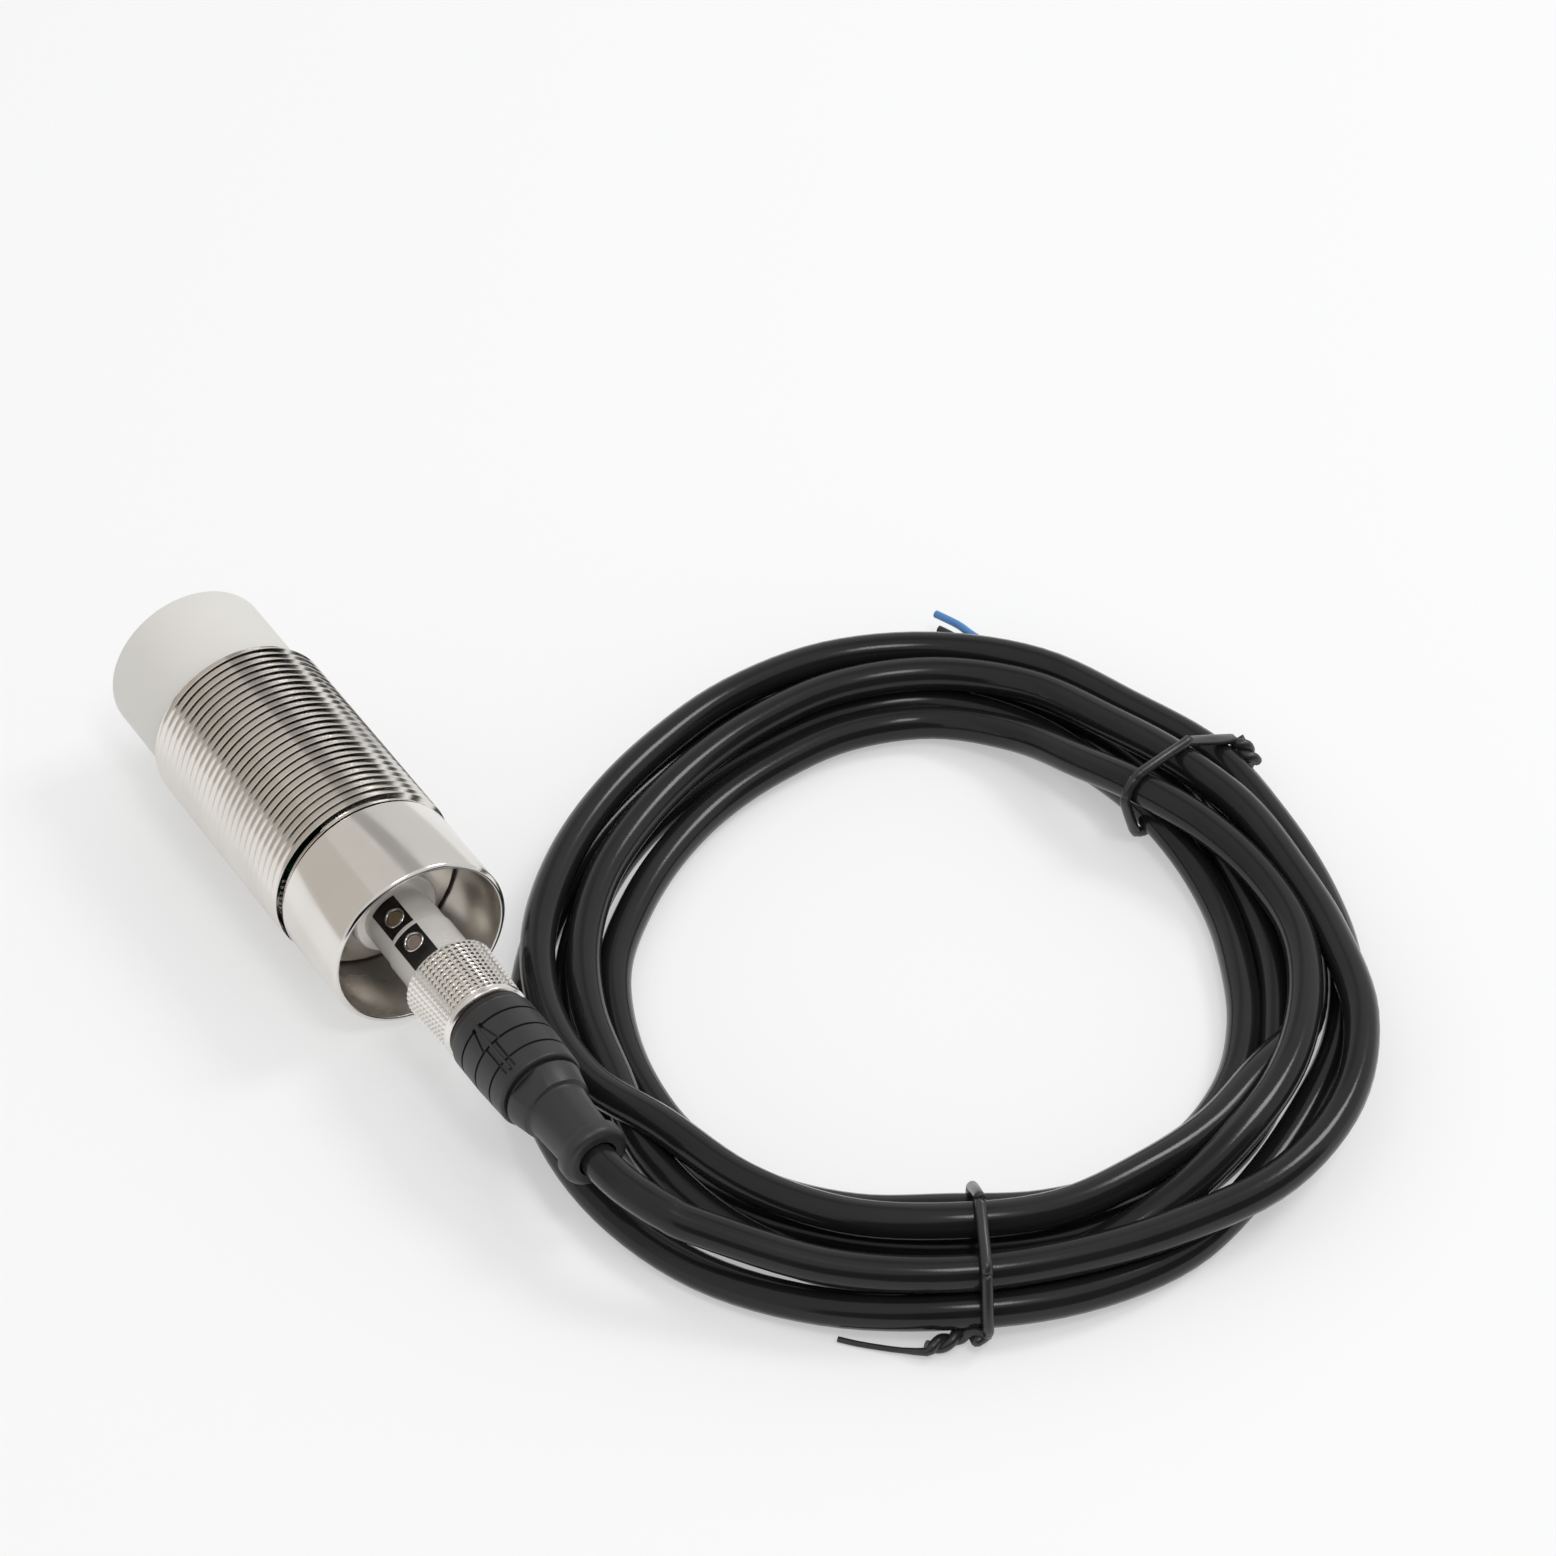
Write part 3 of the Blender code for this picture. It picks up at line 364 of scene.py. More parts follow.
CARRIER_PLASTIC = moulded_plastic(
    "carrier_plastic", (0.70, 0.68, 0.62), (0.62, 0.60, 0.54), 0.55, 900.0, 0.00003)
CHIP_BLACK = moulded_plastic("chip_black", (0.020, 0.020, 0.022), (0.03, 0.03, 0.03), 0.5, 2500.0, 0.00001)
CONTACT_BLACK = moulded_plastic(
    "contact_plastic", (0.022, 0.022, 0.023), (0.032, 0.032, 0.032), 0.42, 1800.0, 0.00001)
SEAL_RUBBER = moulded_plastic("seal_rubber", (0.13, 0.03, 0.02), (0.09, 0.02, 0.015), 0.60, 900.0, 0.00002)
LIGHT_YELLOW = moulded_plastic("light_yellow", (0.75, 0.60, 0.20), (0.66, 0.52, 0.16), 0.3, 900.0, 0.00001)
LIGHT_GREEN = moulded_plastic("light_green", (0.20, 0.55, 0.25), (0.16, 0.46, 0.20), 0.3, 900.0, 0.00001)
LENS_OLIVE = moulded_plastic(
    "lens_olive", (0.17, 0.13, 0.075), (0.12, 0.095, 0.05), 0.12, 700.0, 0.00001, Coat_Weight=0.6)
LENS_BROWN = moulded_plastic(
    "lens_brown", (0.27, 0.21, 0.185), (0.19, 0.14, 0.12), 0.12, 700.0, 0.00001, Coat_Weight=0.6)
INLAY_BLACK = moulded_plastic(
    "inlay_black", (0.010, 0.009, 0.008), (0.016, 0.014, 0.012), 0.16, 900.0, 0.000004)
PLUG_RUBBER = moulded_plastic(
    "plug_rubber", (0.020, 0.020, 0.022), (0.028, 0.028, 0.031), 0.40, 2600.0, 0.00003)
CABLE_BLACK = moulded_plastic(
    "cable_black", (0.010, 0.010, 0.011), (0.015, 0.015, 0.016), 0.15, 1500.0, 0.000006,
    Specular_IOR_Level=0.32)
TIE_BLACK = moulded_plastic("tie_black", (0.020, 0.020, 0.020), (0.03, 0.03, 0.03), 0.28, 1200.0, 0.00002)
WIRE_BLUE = moulded_plastic("wire_blue", (0.10, 0.28, 0.62), (0.07, 0.23, 0.54), 0.30, 1500.0, 0.00001)
WIRE_BLACK = moulded_plastic("wire_black", (0.015, 0.015, 0.016), (0.025, 0.025, 0.025), 0.3, 1500.0, 0.00001)
WIRE_BROWN = moulded_plastic("wire_brown", (0.20, 0.085, 0.035), (0.15, 0.06, 0.025), 0.3, 1500.0, 0.00001)
RING_BROWN = moulded_plastic(
    "ring_brown", (0.014, 0.009, 0.007), (0.010, 0.007, 0.006), 0.40, 1500.0, 0.00001)


# Hand tools
def alone(piece=None):
    """Back to object mode with nothing selected, or only one piece."""
    if bpy.context.object and bpy.context.object.mode != "OBJECT":
        bpy.ops.object.mode_set(mode="OBJECT")
    bpy.ops.object.select_all(action="DESELECT")
    if piece:
        bpy.context.view_layer.objects.active = piece
        piece.select_set(True)


def edit(piece, mode="VERT"):
    alone(piece)
    bpy.ops.object.mode_set(mode="EDIT")
    bpy.ops.mesh.select_mode(type=mode)
    bpy.ops.mesh.select_all(action="DESELECT")


def choose(piece, test, kind="faces"):
    """Select the faces, edges or points of the open mesh that pass a test."""
    mesh = bmesh.from_edit_mesh(piece.data)
    for item in getattr(mesh, kind):
        item.select_set(test(item))
    bmesh.update_edit_mesh(piece.data)


def tidy_mesh(piece):
    """Merge doubles and point all faces outwards."""
    edit(piece)
    bpy.ops.mesh.select_all(action="SELECT")
    bpy.ops.mesh.remove_doubles(threshold=1e-6)
    bpy.ops.mesh.normals_make_consistent(inside=False)
    alone(piece)


def smooth(piece, degrees=32.0):
    alone(piece)
    bpy.ops.object.shade_smooth_by_angle(angle=math.radians(degrees))


def apply_step(piece, kind, **settings):
    """Add a modifier with its settings and apply it."""
    alone(piece)
    step = piece.modifiers.new(kind.lower(), kind)
    for key, value in settings.items():
        setattr(step, key, value)
    bpy.ops.object.modifier_apply(modifier=step.name)


def combine(piece, tool, operation):
    """Cut the tool out of a piece, or keep only what both share. The tool goes."""
    apply_step(piece, "BOOLEAN", operation=operation, solver="EXACT", object=tool)
    bpy.data.objects.remove(tool, do_unlink=True)


def soften(piece, width, segments=2, degrees=35.0):
    """Round the sharp edges of a piece a little."""
    apply_step(piece, "BEVEL", width=width, segments=segments, limit_method="ANGLE",
               angle_limit=math.radians(degrees), use_clamp_overlap=True)


def drawn_line(name, points, ring):
    """A line of edges through (station, radius) points above the axis, open for editing."""
    alone()
    bpy.ops.mesh.primitive_plane_add(size=0.001, location=(0.0, 0.0, 0.0))
    piece = bpy.context.object
    piece.name = name
    piece.data.name = name
    edit(piece)
    bpy.ops.mesh.select_all(action="SELECT")
    bpy.ops.mesh.merge(type="CENTER")
    spots = [Vector((FRONT_X + station, 0.0, AXIS_HEIGHT + radius)) for station, radius in points]
    bpy.ops.transform.translate(value=spots[0])
    for before, after in zip(spots, spots[1:]):
        bpy.ops.mesh.extrude_vertices_move(TRANSFORM_OT_translate={"value": after - before})
    if ring:
        choose(piece, lambda point: len(point.link_edges) == 1, "verts")
        bpy.ops.mesh.edge_face_add()
    return piece


def turned(name, points, ring=True, steps=96, angle=360.0, start=None):
    """Turn a drawn line round the axis, as on a lathe. A part turn gets end faces."""
    piece = drawn_line(name, points, ring)
    bpy.ops.mesh.select_all(action="SELECT")
    if start is not None:
        turn = Matrix.Rotation(start - math.pi / 2, 4, "X")
        mesh = bmesh.from_edit_mesh(piece.data)
        for point in mesh.verts:
            point.co = turn @ (point.co - Vector(AXIS)) + Vector(AXIS)
        bmesh.update_edit_mesh(piece.data)
    bpy.ops.mesh.spin(steps=steps, angle=math.radians(angle), center=AXIS, axis=(-1.0, 0.0, 0.0))
    if angle < 360.0:
        choose(piece, lambda edge: len(edge.link_faces) == 1, "edges")
        bpy.ops.mesh.fill_holes(sides=0)
    tidy_mesh(piece)
    return piece


def rounded(station, radius, size, start, end, steps=5):
    """Points of a rounded corner, angles in degrees from the axis outwards."""
    angles = [math.radians(start + (end - start) * i / steps) for i in range(steps + 1)]
    return [(station + size * math.cos(a), radius + size * math.sin(a)) for a in angles]


def on_surface(station, angle, radius):
    """A point at that station and angle round the axis, that far from it."""
    return Vector((
        FRONT_X + station, radius * math.cos(angle), AXIS_HEIGHT + radius * math.sin(angle)))


def paint(piece, material):
    piece.data.materials.clear()
    piece.data.materials.append(material)


def settle(piece, body, slot, *nodes):
    """Give a finished piece to the body that it rides on and the nodes that it stands for."""
    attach(piece, body)
    if nodes:
        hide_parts(*nodes)


# The cable, its ties and its wires
def smooth_line(points, parts):
    """A smooth line through chosen points, with that many parts between two of them."""
    line = [2 * points[0] - points[1]] + list(points) + [2 * points[-1] - points[-2]]
    dense = []
    for before, start, end, after in zip(line, line[1:], line[2:], line[3:]):
        for i in range(parts):
            t = i / parts
            dense.append(0.5 * (
                2 * start + (end - before) * t + (2 * before - 5 * start + 4 * end - after) * t * t
                + (3 * start - before - 3 * end + after) * t ** 3))
    dense.append(points[-1])
    return dense


def tube(name, points, radius, material, resolution=3, sizes=None):
    """A round cord along a line of points, thinner where the sizes say so."""
    curve = bpy.data.curves.new(name, "CURVE")
    curve.dimensions = "3D"
    curve.bevel_depth = radius
    curve.bevel_resolution = resolution
    curve.use_fill_caps = True
    line = curve.splines.new("POLY")
    line.points.add(len(points) - 1)
    for spot, point in zip(line.points, points):
        spot.co = (*point, 1.0)
    for spot, size in zip(line.points, sizes or []):
        spot.radius = size
    line.use_smooth = True
    curve.materials.append(material)
    piece = bpy.data.objects.new(name, curve)
    bpy.context.collection.objects.link(piece)
    return piece


def coil_point(turn, radius, height):
    angle = math.radians(turn)
    return Vector((
        COIL_CENTRE[0] + radius * math.cos(angle), COIL_CENTRE[1] + radius * math.sin(angle), height))


def cable_route():
    chosen = [Vector(point) for point in LEAD_ROUTE]
    for i, (radius, height) in enumerate(COIL_TURNS):
        chosen.append(coil_point(COIL_START + COIL_STEP * i, radius / 1000, height / 1000))
    route = smooth_line(chosen, 6)
    for point in route:
        point.z = max(point.z, CABLE_RADIUS)
    return route


ROUTE = cable_route()
CABLE_LENGTH = sum((b - a).length for a, b in zip(ROUTE, ROUTE[1:]))
cable = tube("cable", ROUTE, CABLE_RADIUS, CABLE_BLACK, 5)


def hugging_loop(angle, start, sweep):
    """Points of a tie drawn tight round the strands that pass at one angle of the coil."""
    beside = 0.0030
    outward = Vector((math.cos(angle), math.sin(angle)))
    middle = Vector(COIL_CENTRE)
    strands = []
    for point in ROUTE:
        flat = point.xy - middle
        if abs(outward.cross(flat)) < beside and outward.dot(flat) > 0.0:
            strands.append(Vector((outward.dot(flat), point.z)))
    reach = CABLE_RADIUS + TIE_RADIUS
    loop = []
    for i in range(LOOP_POINTS + 1):
        way = math.radians(start + sweep * i / LOOP_POINTS)
        side = Vector((math.cos(way), math.sin(way)))
        spot = max(strands, key=side.dot) + reach * side
        lift = max(spot.y, TIE_RADIUS + 0.0001)
        flat = middle + outward * spot.x
        loop.append(Vector((flat.x, flat.y, lift)))
    return loop


def cleaned(points):
    """Drop points of a tie that stand too close to the one before."""
    kept = [points[0]]
    for point in points[1:]:
        if (point - kept[-1]).length > TIE_STEP:
            kept.append(point)
    return kept


def twisted_tail(points, radius, pitch):
    """Two wires wound round each other along a line, as one there-and-back line."""
    line = smooth_line(points, 10)
    out = []
    back = []
    gone = 0.0
    for before, point in zip(line, line[1:]):
        way = (point - before).normalized()
        gone += (point - before).length
        side = way.cross(Vector((0.0, 0.0, 1.0))).normalized()
        up = side.cross(way)
        turn = 2 * math.pi * gone / pitch
        offset = radius * (side * math.cos(turn) + up * math.sin(turn))
        out.append(point + offset)
        back.append(point - offset)
    return out, back


def lower_tie():
    """The tie with the long thin tail that lies on the floor."""
    loop = hugging_loop(LOWER_TIE_ANGLE, -20.0, 338.0)
    twist = [loop[0] + Vector((0.0, -0.0010, -0.0006))] + [Vector(point) for point in LOWER_TWIST]
    tail = [Vector(point) for point in LOWER_TAIL]
    out, back = twisted_tail(twist, radius=0.00055, pitch=0.0062)
    line = smooth_line(cleaned(tail + list(reversed(out)) + loop + back), 2)
    sizes = [min(1.0, 0.52 + 0.12 * max(0, i - 6)) for i in range(len(line))]
    return tube("twist_tie_low", line, TIE_RADIUS, TIE_BLACK, sizes=sizes)


def upper_tie():
    """The tie whose short twist stands off the top of the coil."""
    loop = hugging_loop(UPPER_TIE_ANGLE, 28.0, 340.0)
    along = Vector((math.sin(UPPER_TIE_ANGLE), -math.cos(UPPER_TIE_ANGLE), 0.0))
    outward = Vector((math.cos(UPPER_TIE_ANGLE), math.sin(UPPER_TIE_ANGLE), 0.0))
    knot = [
        loop[0] + far * along + 0.0007 * outward + Vector((0.0, 0.0, drop))
        for far, drop in UPPER_TWIST]
    out, back = twisted_tail(knot, radius=0.00075, pitch=0.0046)
    line = smooth_line(cleaned(list(reversed(out)) + loop + back), 2)
    return tube("twist_tie_high", line, TIE_RADIUS, TIE_BLACK)


def stripped_wires():
    """The three wires, each from its own place in the jacket's end."""
    end = ROUTE[-1]
    way = (ROUTE[-1] - ROUTE[-3]).normalized()
    side = Vector((-way.y, way.x, 0.0))
    up = Vector((0.0, 0.0, 1.0))
    plan = (
        ("lead_wire_blue", WIRE_BLUE, up, BLUE_WIRE),
        ("lead_wire_black", WIRE_BLACK, -side, BLACK_WIRE),
        ("lead_wire_brown", WIRE_BROWN, -up, BROWN_WIRE),
    )
    wires = []
    for name, material, towards, spots in plan:
        root = end - 0.001 * way + WIRE_OFFSET * towards
        line = smooth_line([root - 0.002 * way, root] + [Vector(spot) for spot in spots], 8)
        wires.append(tube(name, line, WIRE_RADIUS, material))
    return wires


LOW_TIE = lower_tie()
HIGH_TIE = upper_tie()
WIRES = stripped_wires()
settle(cable, "plug", "cable_black", "cable_lead", "cable_coil")
settle(LOW_TIE, "plug", "tie_black", "twist_tie_lower")
settle(HIGH_TIE, "plug", "tie_black", "twist_tie_upper")
for wire, node in zip(WIRES, ("wire_blue", "wire_black", "wire_brown")):
    settle(wire, "plug", node, node)


# The threaded body and the cap
def threaded_barrel():
    """One tooth wound up as a screw, closed at both ends and kept where the turned blank is."""
    pitch = THREAD_PITCH
    root = THREAD_RADIUS - THREAD_DEPTH
    crest = THREAD_RADIUS - 0.00001
    flank = crest - CREST_EDGE
    brow = crest - CREST_EDGE / 6
    tooth = [
        (0.0, root), (0.24 * pitch, root), (0.50 * pitch, flank), (0.54 * pitch, brow),
        (0.60 * pitch, crest), (0.66 * pitch, brow), (0.70 * pitch, flank), (0.96 * pitch, root),
        (pitch, root),
    ]
    piece = drawn_line("barrel_thread", tooth, False)
    bpy.ops.mesh.select_all(action="SELECT")
    start = BODY_START - 1.5 * pitch
    bpy.ops.transform.translate(value=(start - FRONT_X, 0.0, -AXIS_HEIGHT))
    turns = math.ceil((SLEEVE_START - BODY_START) / pitch) + 3
    apply_step(piece, "SCREW", axis="X", angle=2 * math.pi, screw_offset=pitch, iterations=turns,
               steps=96, render_steps=96, use_merge_vertices=True, merge_threshold=1e-6)
    edit(piece)
    bpy.ops.mesh.select_all(action="SELECT")
    bpy.ops.mesh.remove_doubles(threshold=2e-6)
    bpy.ops.mesh.select_mode(type="EDGE")
    middle = start + pitch * turns / 2
    for side, plane in ((-1, start - pitch), (1, start + pitch * (turns + 2))):
        bpy.ops.mesh.select_all(action="DESELECT")
        choose(piece, lambda edge: len(edge.link_faces) == 1
               and side * (edge.verts[0].co.x - middle) > 0.0, "edges")
        bpy.ops.mesh.extrude_edges_move(TRANSFORM_OT_translate={"value": (0.0, 0.0, 0.0)})
        bpy.ops.transform.resize(value=(0.0, 1.0, 1.0), center_override=(plane, 0.0, 0.0))
        bpy.ops.mesh.edge_face_add()
    bpy.ops.mesh.select_all(action="SELECT")
    bpy.ops.transform.translate(value=(FRONT_X, 0.0, AXIS_HEIGHT))
    tidy_mesh(piece)
    top = THREAD_RADIUS + 0.0002
    blank = turned("thread_blank", [
        (BODY_START, THREAD_RADIUS - LEAD_CHAMFER), (BODY_START + LEAD_CHAMFER + 0.0002, top),
        (THREAD_END - 0.0006, top), (THREAD_END, RELIEF_RADIUS), (SLEEVE_START, RELIEF_RADIUS),
        (SLEEVE_START, CUP_RADIUS), (BODY_SHOULDER, CUP_RADIUS), (BODY_SHOULDER, BODY_BORE),
        (BODY_START, BODY_BORE)], steps=128)
    combine(piece, blank, "INTERSECT")
    smooth(piece, 40.0)
    paint(piece, NICKEL_THREAD)
    satin_inside(piece)
    settle(piece, "sensor", "nickel_plate", "barrel")


def satin_inside(piece):
    """Give the turned inside of the cup the duller satin finish."""
    piece.data.materials.append(NICKEL_SATIN)
    for face in piece.data.polygons:
        inward = face.normal.y * face.center.y + face.normal.z * (face.center.z - AXIS_HEIGHT) < 0.0
        far = math.hypot(face.center.y, face.center.z - AXIS_HEIGHT)
        if inward and far < CUP_RADIUS + 0.0001:
            face.material_index = 1


def plain_sleeve():
    chamfer = RIM_CHAMFER
    inner = CUP_RADIUS
    piece = turned("barrel_sleeve", [
        (SLEEVE_START, inner), (SLEEVE_START, SLEEVE_RADIUS - chamfer),
        (SLEEVE_START + chamfer, SLEEVE_RADIUS), (RIM - 1.5 * chamfer, SLEEVE_RADIUS),
        (RIM - 0.9 * chamfer, SLEEVE_RADIUS - 0.3 * chamfer), (RIM - 0.3 * chamfer, SLEEVE_RADIUS - chamfer),
        (RIM, SLEEVE_RADIUS - 1.25 * chamfer), (RIM, inner + 0.6 * chamfer),
        (RIM - 0.5 * chamfer, inner)], steps=128)
    soften(piece, 0.00007)
    smooth(piece)
    paint(piece, NICKEL)
    satin_inside(piece)
    settle(piece, "sensor", "nickel_plate")


def sensing_cap():
    corner = rounded(CAP_EDGE, CAP_RADIUS - CAP_EDGE, CAP_EDGE, 180, 90, 8)
    piece = turned("cap_shell", [(0.0, 0.0)] + corner + [
        (CAP_LENGTH, CAP_RADIUS), (CAP_LENGTH, SKIRT_RADIUS), (SKIRT_END, SKIRT_RADIUS),
        (SKIRT_END, SKIRT_BORE), (CAP_WALL, SKIRT_BORE), (CAP_WALL, 0.0)], ring=False, steps=112)
    soften(piece, 0.00012)
    smooth(piece)
    paint(piece, CAP_PLASTIC)
    settle(piece, "sensor", "cap_plastic", "sensing_cap")


threaded_barrel()
plain_sleeve()
sensing_cap()


# The connector stem
def key_turn(station, radius):
    """Place of a thing on the key line, turned so that its own Z points outwards."""
    spot = on_surface(station, KEY_ANGLE, radius)
    return spot, (KEY_ANGLE - math.pi / 2, 0.0, 0.0)


def round_post(name, station, bottom, top, radius):
    """A round post on the key line, from one distance off the axis to another."""
    spot, turn = key_turn(station, (bottom + top) / 2)
    alone()
    bpy.ops.mesh.primitive_cylinder_add(
        vertices=48, radius=radius, depth=top - bottom, location=spot, rotation=turn)
    post = bpy.context.object
    post.name = name
    post.data.name = name
    bpy.ops.object.transform_apply(location=True, rotation=True, scale=True)
    return post


def connector_stem():
    chamfer = RIM_CHAMFER
    piece = turned("stem", [
        (STEM_START, SPIGOT_RADIUS), (COLLAR_START, SPIGOT_RADIUS), (COLLAR_START, COLLAR_RADIUS),
        (NECK_START - chamfer, COLLAR_RADIUS), (NECK_START, COLLAR_RADIUS - chamfer),
        (NECK_START, NECK_RADIUS), (STEP - 0.0003, NECK_RADIUS), (STEP, REAR_RADIUS),
        (PLUG_THREAD_START, REAR_RADIUS), (PLUG_THREAD_START + chamfer, PLUG_THREAD_RADIUS),
        (SENSOR_LENGTH - chamfer, PLUG_THREAD_RADIUS), (SENSOR_LENGTH, PLUG_THREAD_RADIUS - chamfer),
        (SENSOR_LENGTH, SOCKET_BORE), (SOCKET_FLOOR, SOCKET_BORE), (SOCKET_FLOOR, STEM_BORE),
        (STEM_START, STEM_BORE)], steps=96)
    for station in WINDOWS:
        combine(piece, round_post("window_hole", station, *WINDOW_CUT, WINDOW_RADIUS), "DIFFERENCE")
    soften(piece, 0.00008)
    smooth(piece)
    # The stem gets the lighter copy of nickel, a painted highlight in place of the reflection on it.
    paint(piece, NICKEL_STEM_PAINTED_BRIGHT)
    settle(piece, "sensor", "nickel_plate", "connector_stem")


def window_inlay(name, start, end, radius, window):
    """The black strip round a window: a thin curved plate let into the stem."""
    low = radius - INLAY_DEPTH
    high = radius + INLAY_PROUD
    piece = turned(name, [(start, low), (start, high), (end, high), (end, low)], steps=24,
                   angle=math.degrees(2 * INLAY_HALF_ANGLE), start=INLAY_ANGLE - INLAY_HALF_ANGLE)
    combine(piece, round_post("inlay_hole", window, *WINDOW_CUT, WINDOW_RADIUS + 0.00005), "DIFFERENCE")
    smooth(piece)
    paint(piece, INLAY_BLACK)
    settle(piece, "sensor", "contact_plastic")


def window_lens(name, station, radius, material, slot, node):
    """A lens with a domed face, sunk a little in its window."""
    piece = round_post(name, station, LENS_FOOT, radius - LENS_SINK, LENS_RADIUS)
    edit(piece, "FACE")
    outward = on_surface(0.0, KEY_ANGLE, 1.0) - on_surface(0.0, KEY_ANGLE, 0.0)
    choose(piece, lambda face: face.normal.dot(outward) > 0.9)
    for thickness, depth in LENS_STEPS:
        bpy.ops.mesh.inset(thickness=thickness, depth=depth)
    alone(piece)
    smooth(piece, 50.0)
    paint(piece, material)
    settle(piece, "sensor", slot, node)


def window_ring(name, station, radius):
    """The thin bright ring round a window."""
    spot, turn = key_turn(station, radius - WINDOW_WIRE_SINK)
    alone()
    bpy.ops.mesh.primitive_torus_add(
        major_segments=64, minor_segments=12, major_radius=WINDOW_RADIUS - WINDOW_WIRE_SINK,
        minor_radius=WINDOW_WIRE, location=spot, rotation=turn)
    piece = bpy.context.object
    piece.name = name
    piece.data.name = name
    bpy.ops.object.transform_apply(location=True, rotation=True, scale=True)
    smooth(piece, 60.0)
    paint(piece, NICKEL)
    settle(piece, "sensor", "nickel_plate")


connector_stem()
window_inlay("window_inlay_front", NECK_START + 0.0012, STEP - 0.0005, NECK_RADIUS, WINDOWS[0])
window_inlay("window_inlay_rear", STEP + 0.0005, PLUG_THREAD_START - 0.0006, REAR_RADIUS, WINDOWS[1])
window_ring("window_ring_front", WINDOWS[0], NECK_RADIUS)
window_ring("window_ring_rear", WINDOWS[1], REAR_RADIUS)
window_lens("lens_front", WINDOWS[0], NECK_RADIUS, LENS_OLIVE, "lens_olive", "window_lens_front")
window_lens("lens_rear", WINDOWS[1], REAR_RADIUS, LENS_BROWN, "lens_brown", "window_lens_rear")


# The coupling nut
def nut_knurl():
    """The knurled part: a ring of rows and columns whose faces are raised to small pyramids."""
    depth = KNURL_DEPTH + 0.00002
    taper = NUT_RADIUS - NUT_REAR_RADIUS
    rows = [
        (KNURL_START + KNURL_LENGTH * i / KNURL_ROWS, NUT_RADIUS - depth - taper * i / KNURL_ROWS)
        for i in range(KNURL_ROWS + 1)]
    piece = turned("nut_knurl", [(NUT_START, NUT_BORE), (NUT_START, NUT_RADIUS - 2 * KNURL_DEPTH)] + rows + [
        (KNURL_START + KNURL_LENGTH, NUT_BORE)], steps=KNURL_COLUMNS)
    edit(piece, "FACE")
    inside = (FRONT_X + KNURL_START, FRONT_X + KNURL_START + KNURL_LENGTH)

    def on_knurl(face):
        spot = face.calc_center_median()
        far = math.hypot(spot.y, spot.z - AXIS_HEIGHT)
        return inside[0] < spot.x < inside[1] and far > NUT_REAR_RADIUS - depth - 0.0002

    choose(piece, on_knurl)
    bpy.ops.mesh.inset(thickness=0.00030, depth=KNURL_DEPTH, use_individual=True)
    alone(piece)
    smooth(piece, 20.0)
    paint(piece, NICKEL_NUT)
    settle(piece, "nut", "nickel_plate", "coupling_nut")


def nut_collar():
    """The plain collar, with the inner lip that bears on the plug's flange."""
    edge = KNURL_DEPTH
    start = KNURL_START + KNURL_LENGTH
    piece = turned("nut_collar", [
        (start, NUT_BORE), (start, NUT_REAR_RADIUS - edge), (start + edge, NUT_REAR_RADIUS),
        (NUT_END - edge, NUT_REAR_RADIUS), (NUT_END, NUT_REAR_RADIUS - edge), (NUT_END, NUT_BORE),
        (LIP_END, NUT_BORE), (LIP_END, NUT_LIP), (LIP_START, NUT_LIP), (LIP_START, NUT_BORE)], steps=96)
    soften(piece, 0.0001)
    smooth(piece)
    paint(piece, NICKEL_NUT)
    settle(piece, "nut", "nickel_plate")


nut_knurl()
nut_collar()


# The moulded plug
def groove_cutter(station, free=0.0):
    """A thin ring, whole or stopping short on both sides of the arrow mark."""
    near = station - GROOVE_WIDTH / 2
    far = station + GROOVE_WIDTH / 2
    section = [(near, GROOVE_FLOOR), (near, GROOVE_TOP), (far, GROOVE_TOP), (far, GROOVE_FLOOR)]
    return turned("groove_cutter", section, steps=120, angle=360.0 - 2 * math.degrees(free),
                  start=ARROW_ANGLE + free)


def key_block(name, centre, size, turns):
    """A block beside the arrow line: centre as station, side offset and distance off the axis."""
    aside = Vector((0.0, -math.sin(ARROW_ANGLE), math.cos(ARROW_ANGLE)))
    spot = on_surface(centre[0], ARROW_ANGLE, centre[2]) + centre[1] * aside
    turn = Matrix.Rotation(ARROW_ANGLE - math.pi / 2, 4, "X")
    for angle, axis in turns:
        turn = turn @ Matrix.Rotation(angle, 4, axis)
    alone()
    bpy.ops.mesh.primitive_cube_add(size=1.0)
    block = bpy.context.object
    block.name = name
    block.matrix_world = Matrix.Translation(spot) @ turn @ Matrix.Diagonal((*size, 1.0))
    bpy.ops.object.transform_apply(location=True, rotation=True, scale=True)
    return block


def arrow_line(start, end, width, low=ARROW_LOW, high=ARROW_HIGH):
    """A thin straight block between two (station, offset) points, from low to high off the axis."""
    a = Vector(start)
    b = Vector(end)
    middle = (a + b) / 2
    way = math.atan2(b.y - a.y, b.x - a.x)
    return key_block("arrow_line", (middle.x, middle.y, (low + high) / 2),
                     ((b - a).length + width, width, high - low), [(-way, "Z")])


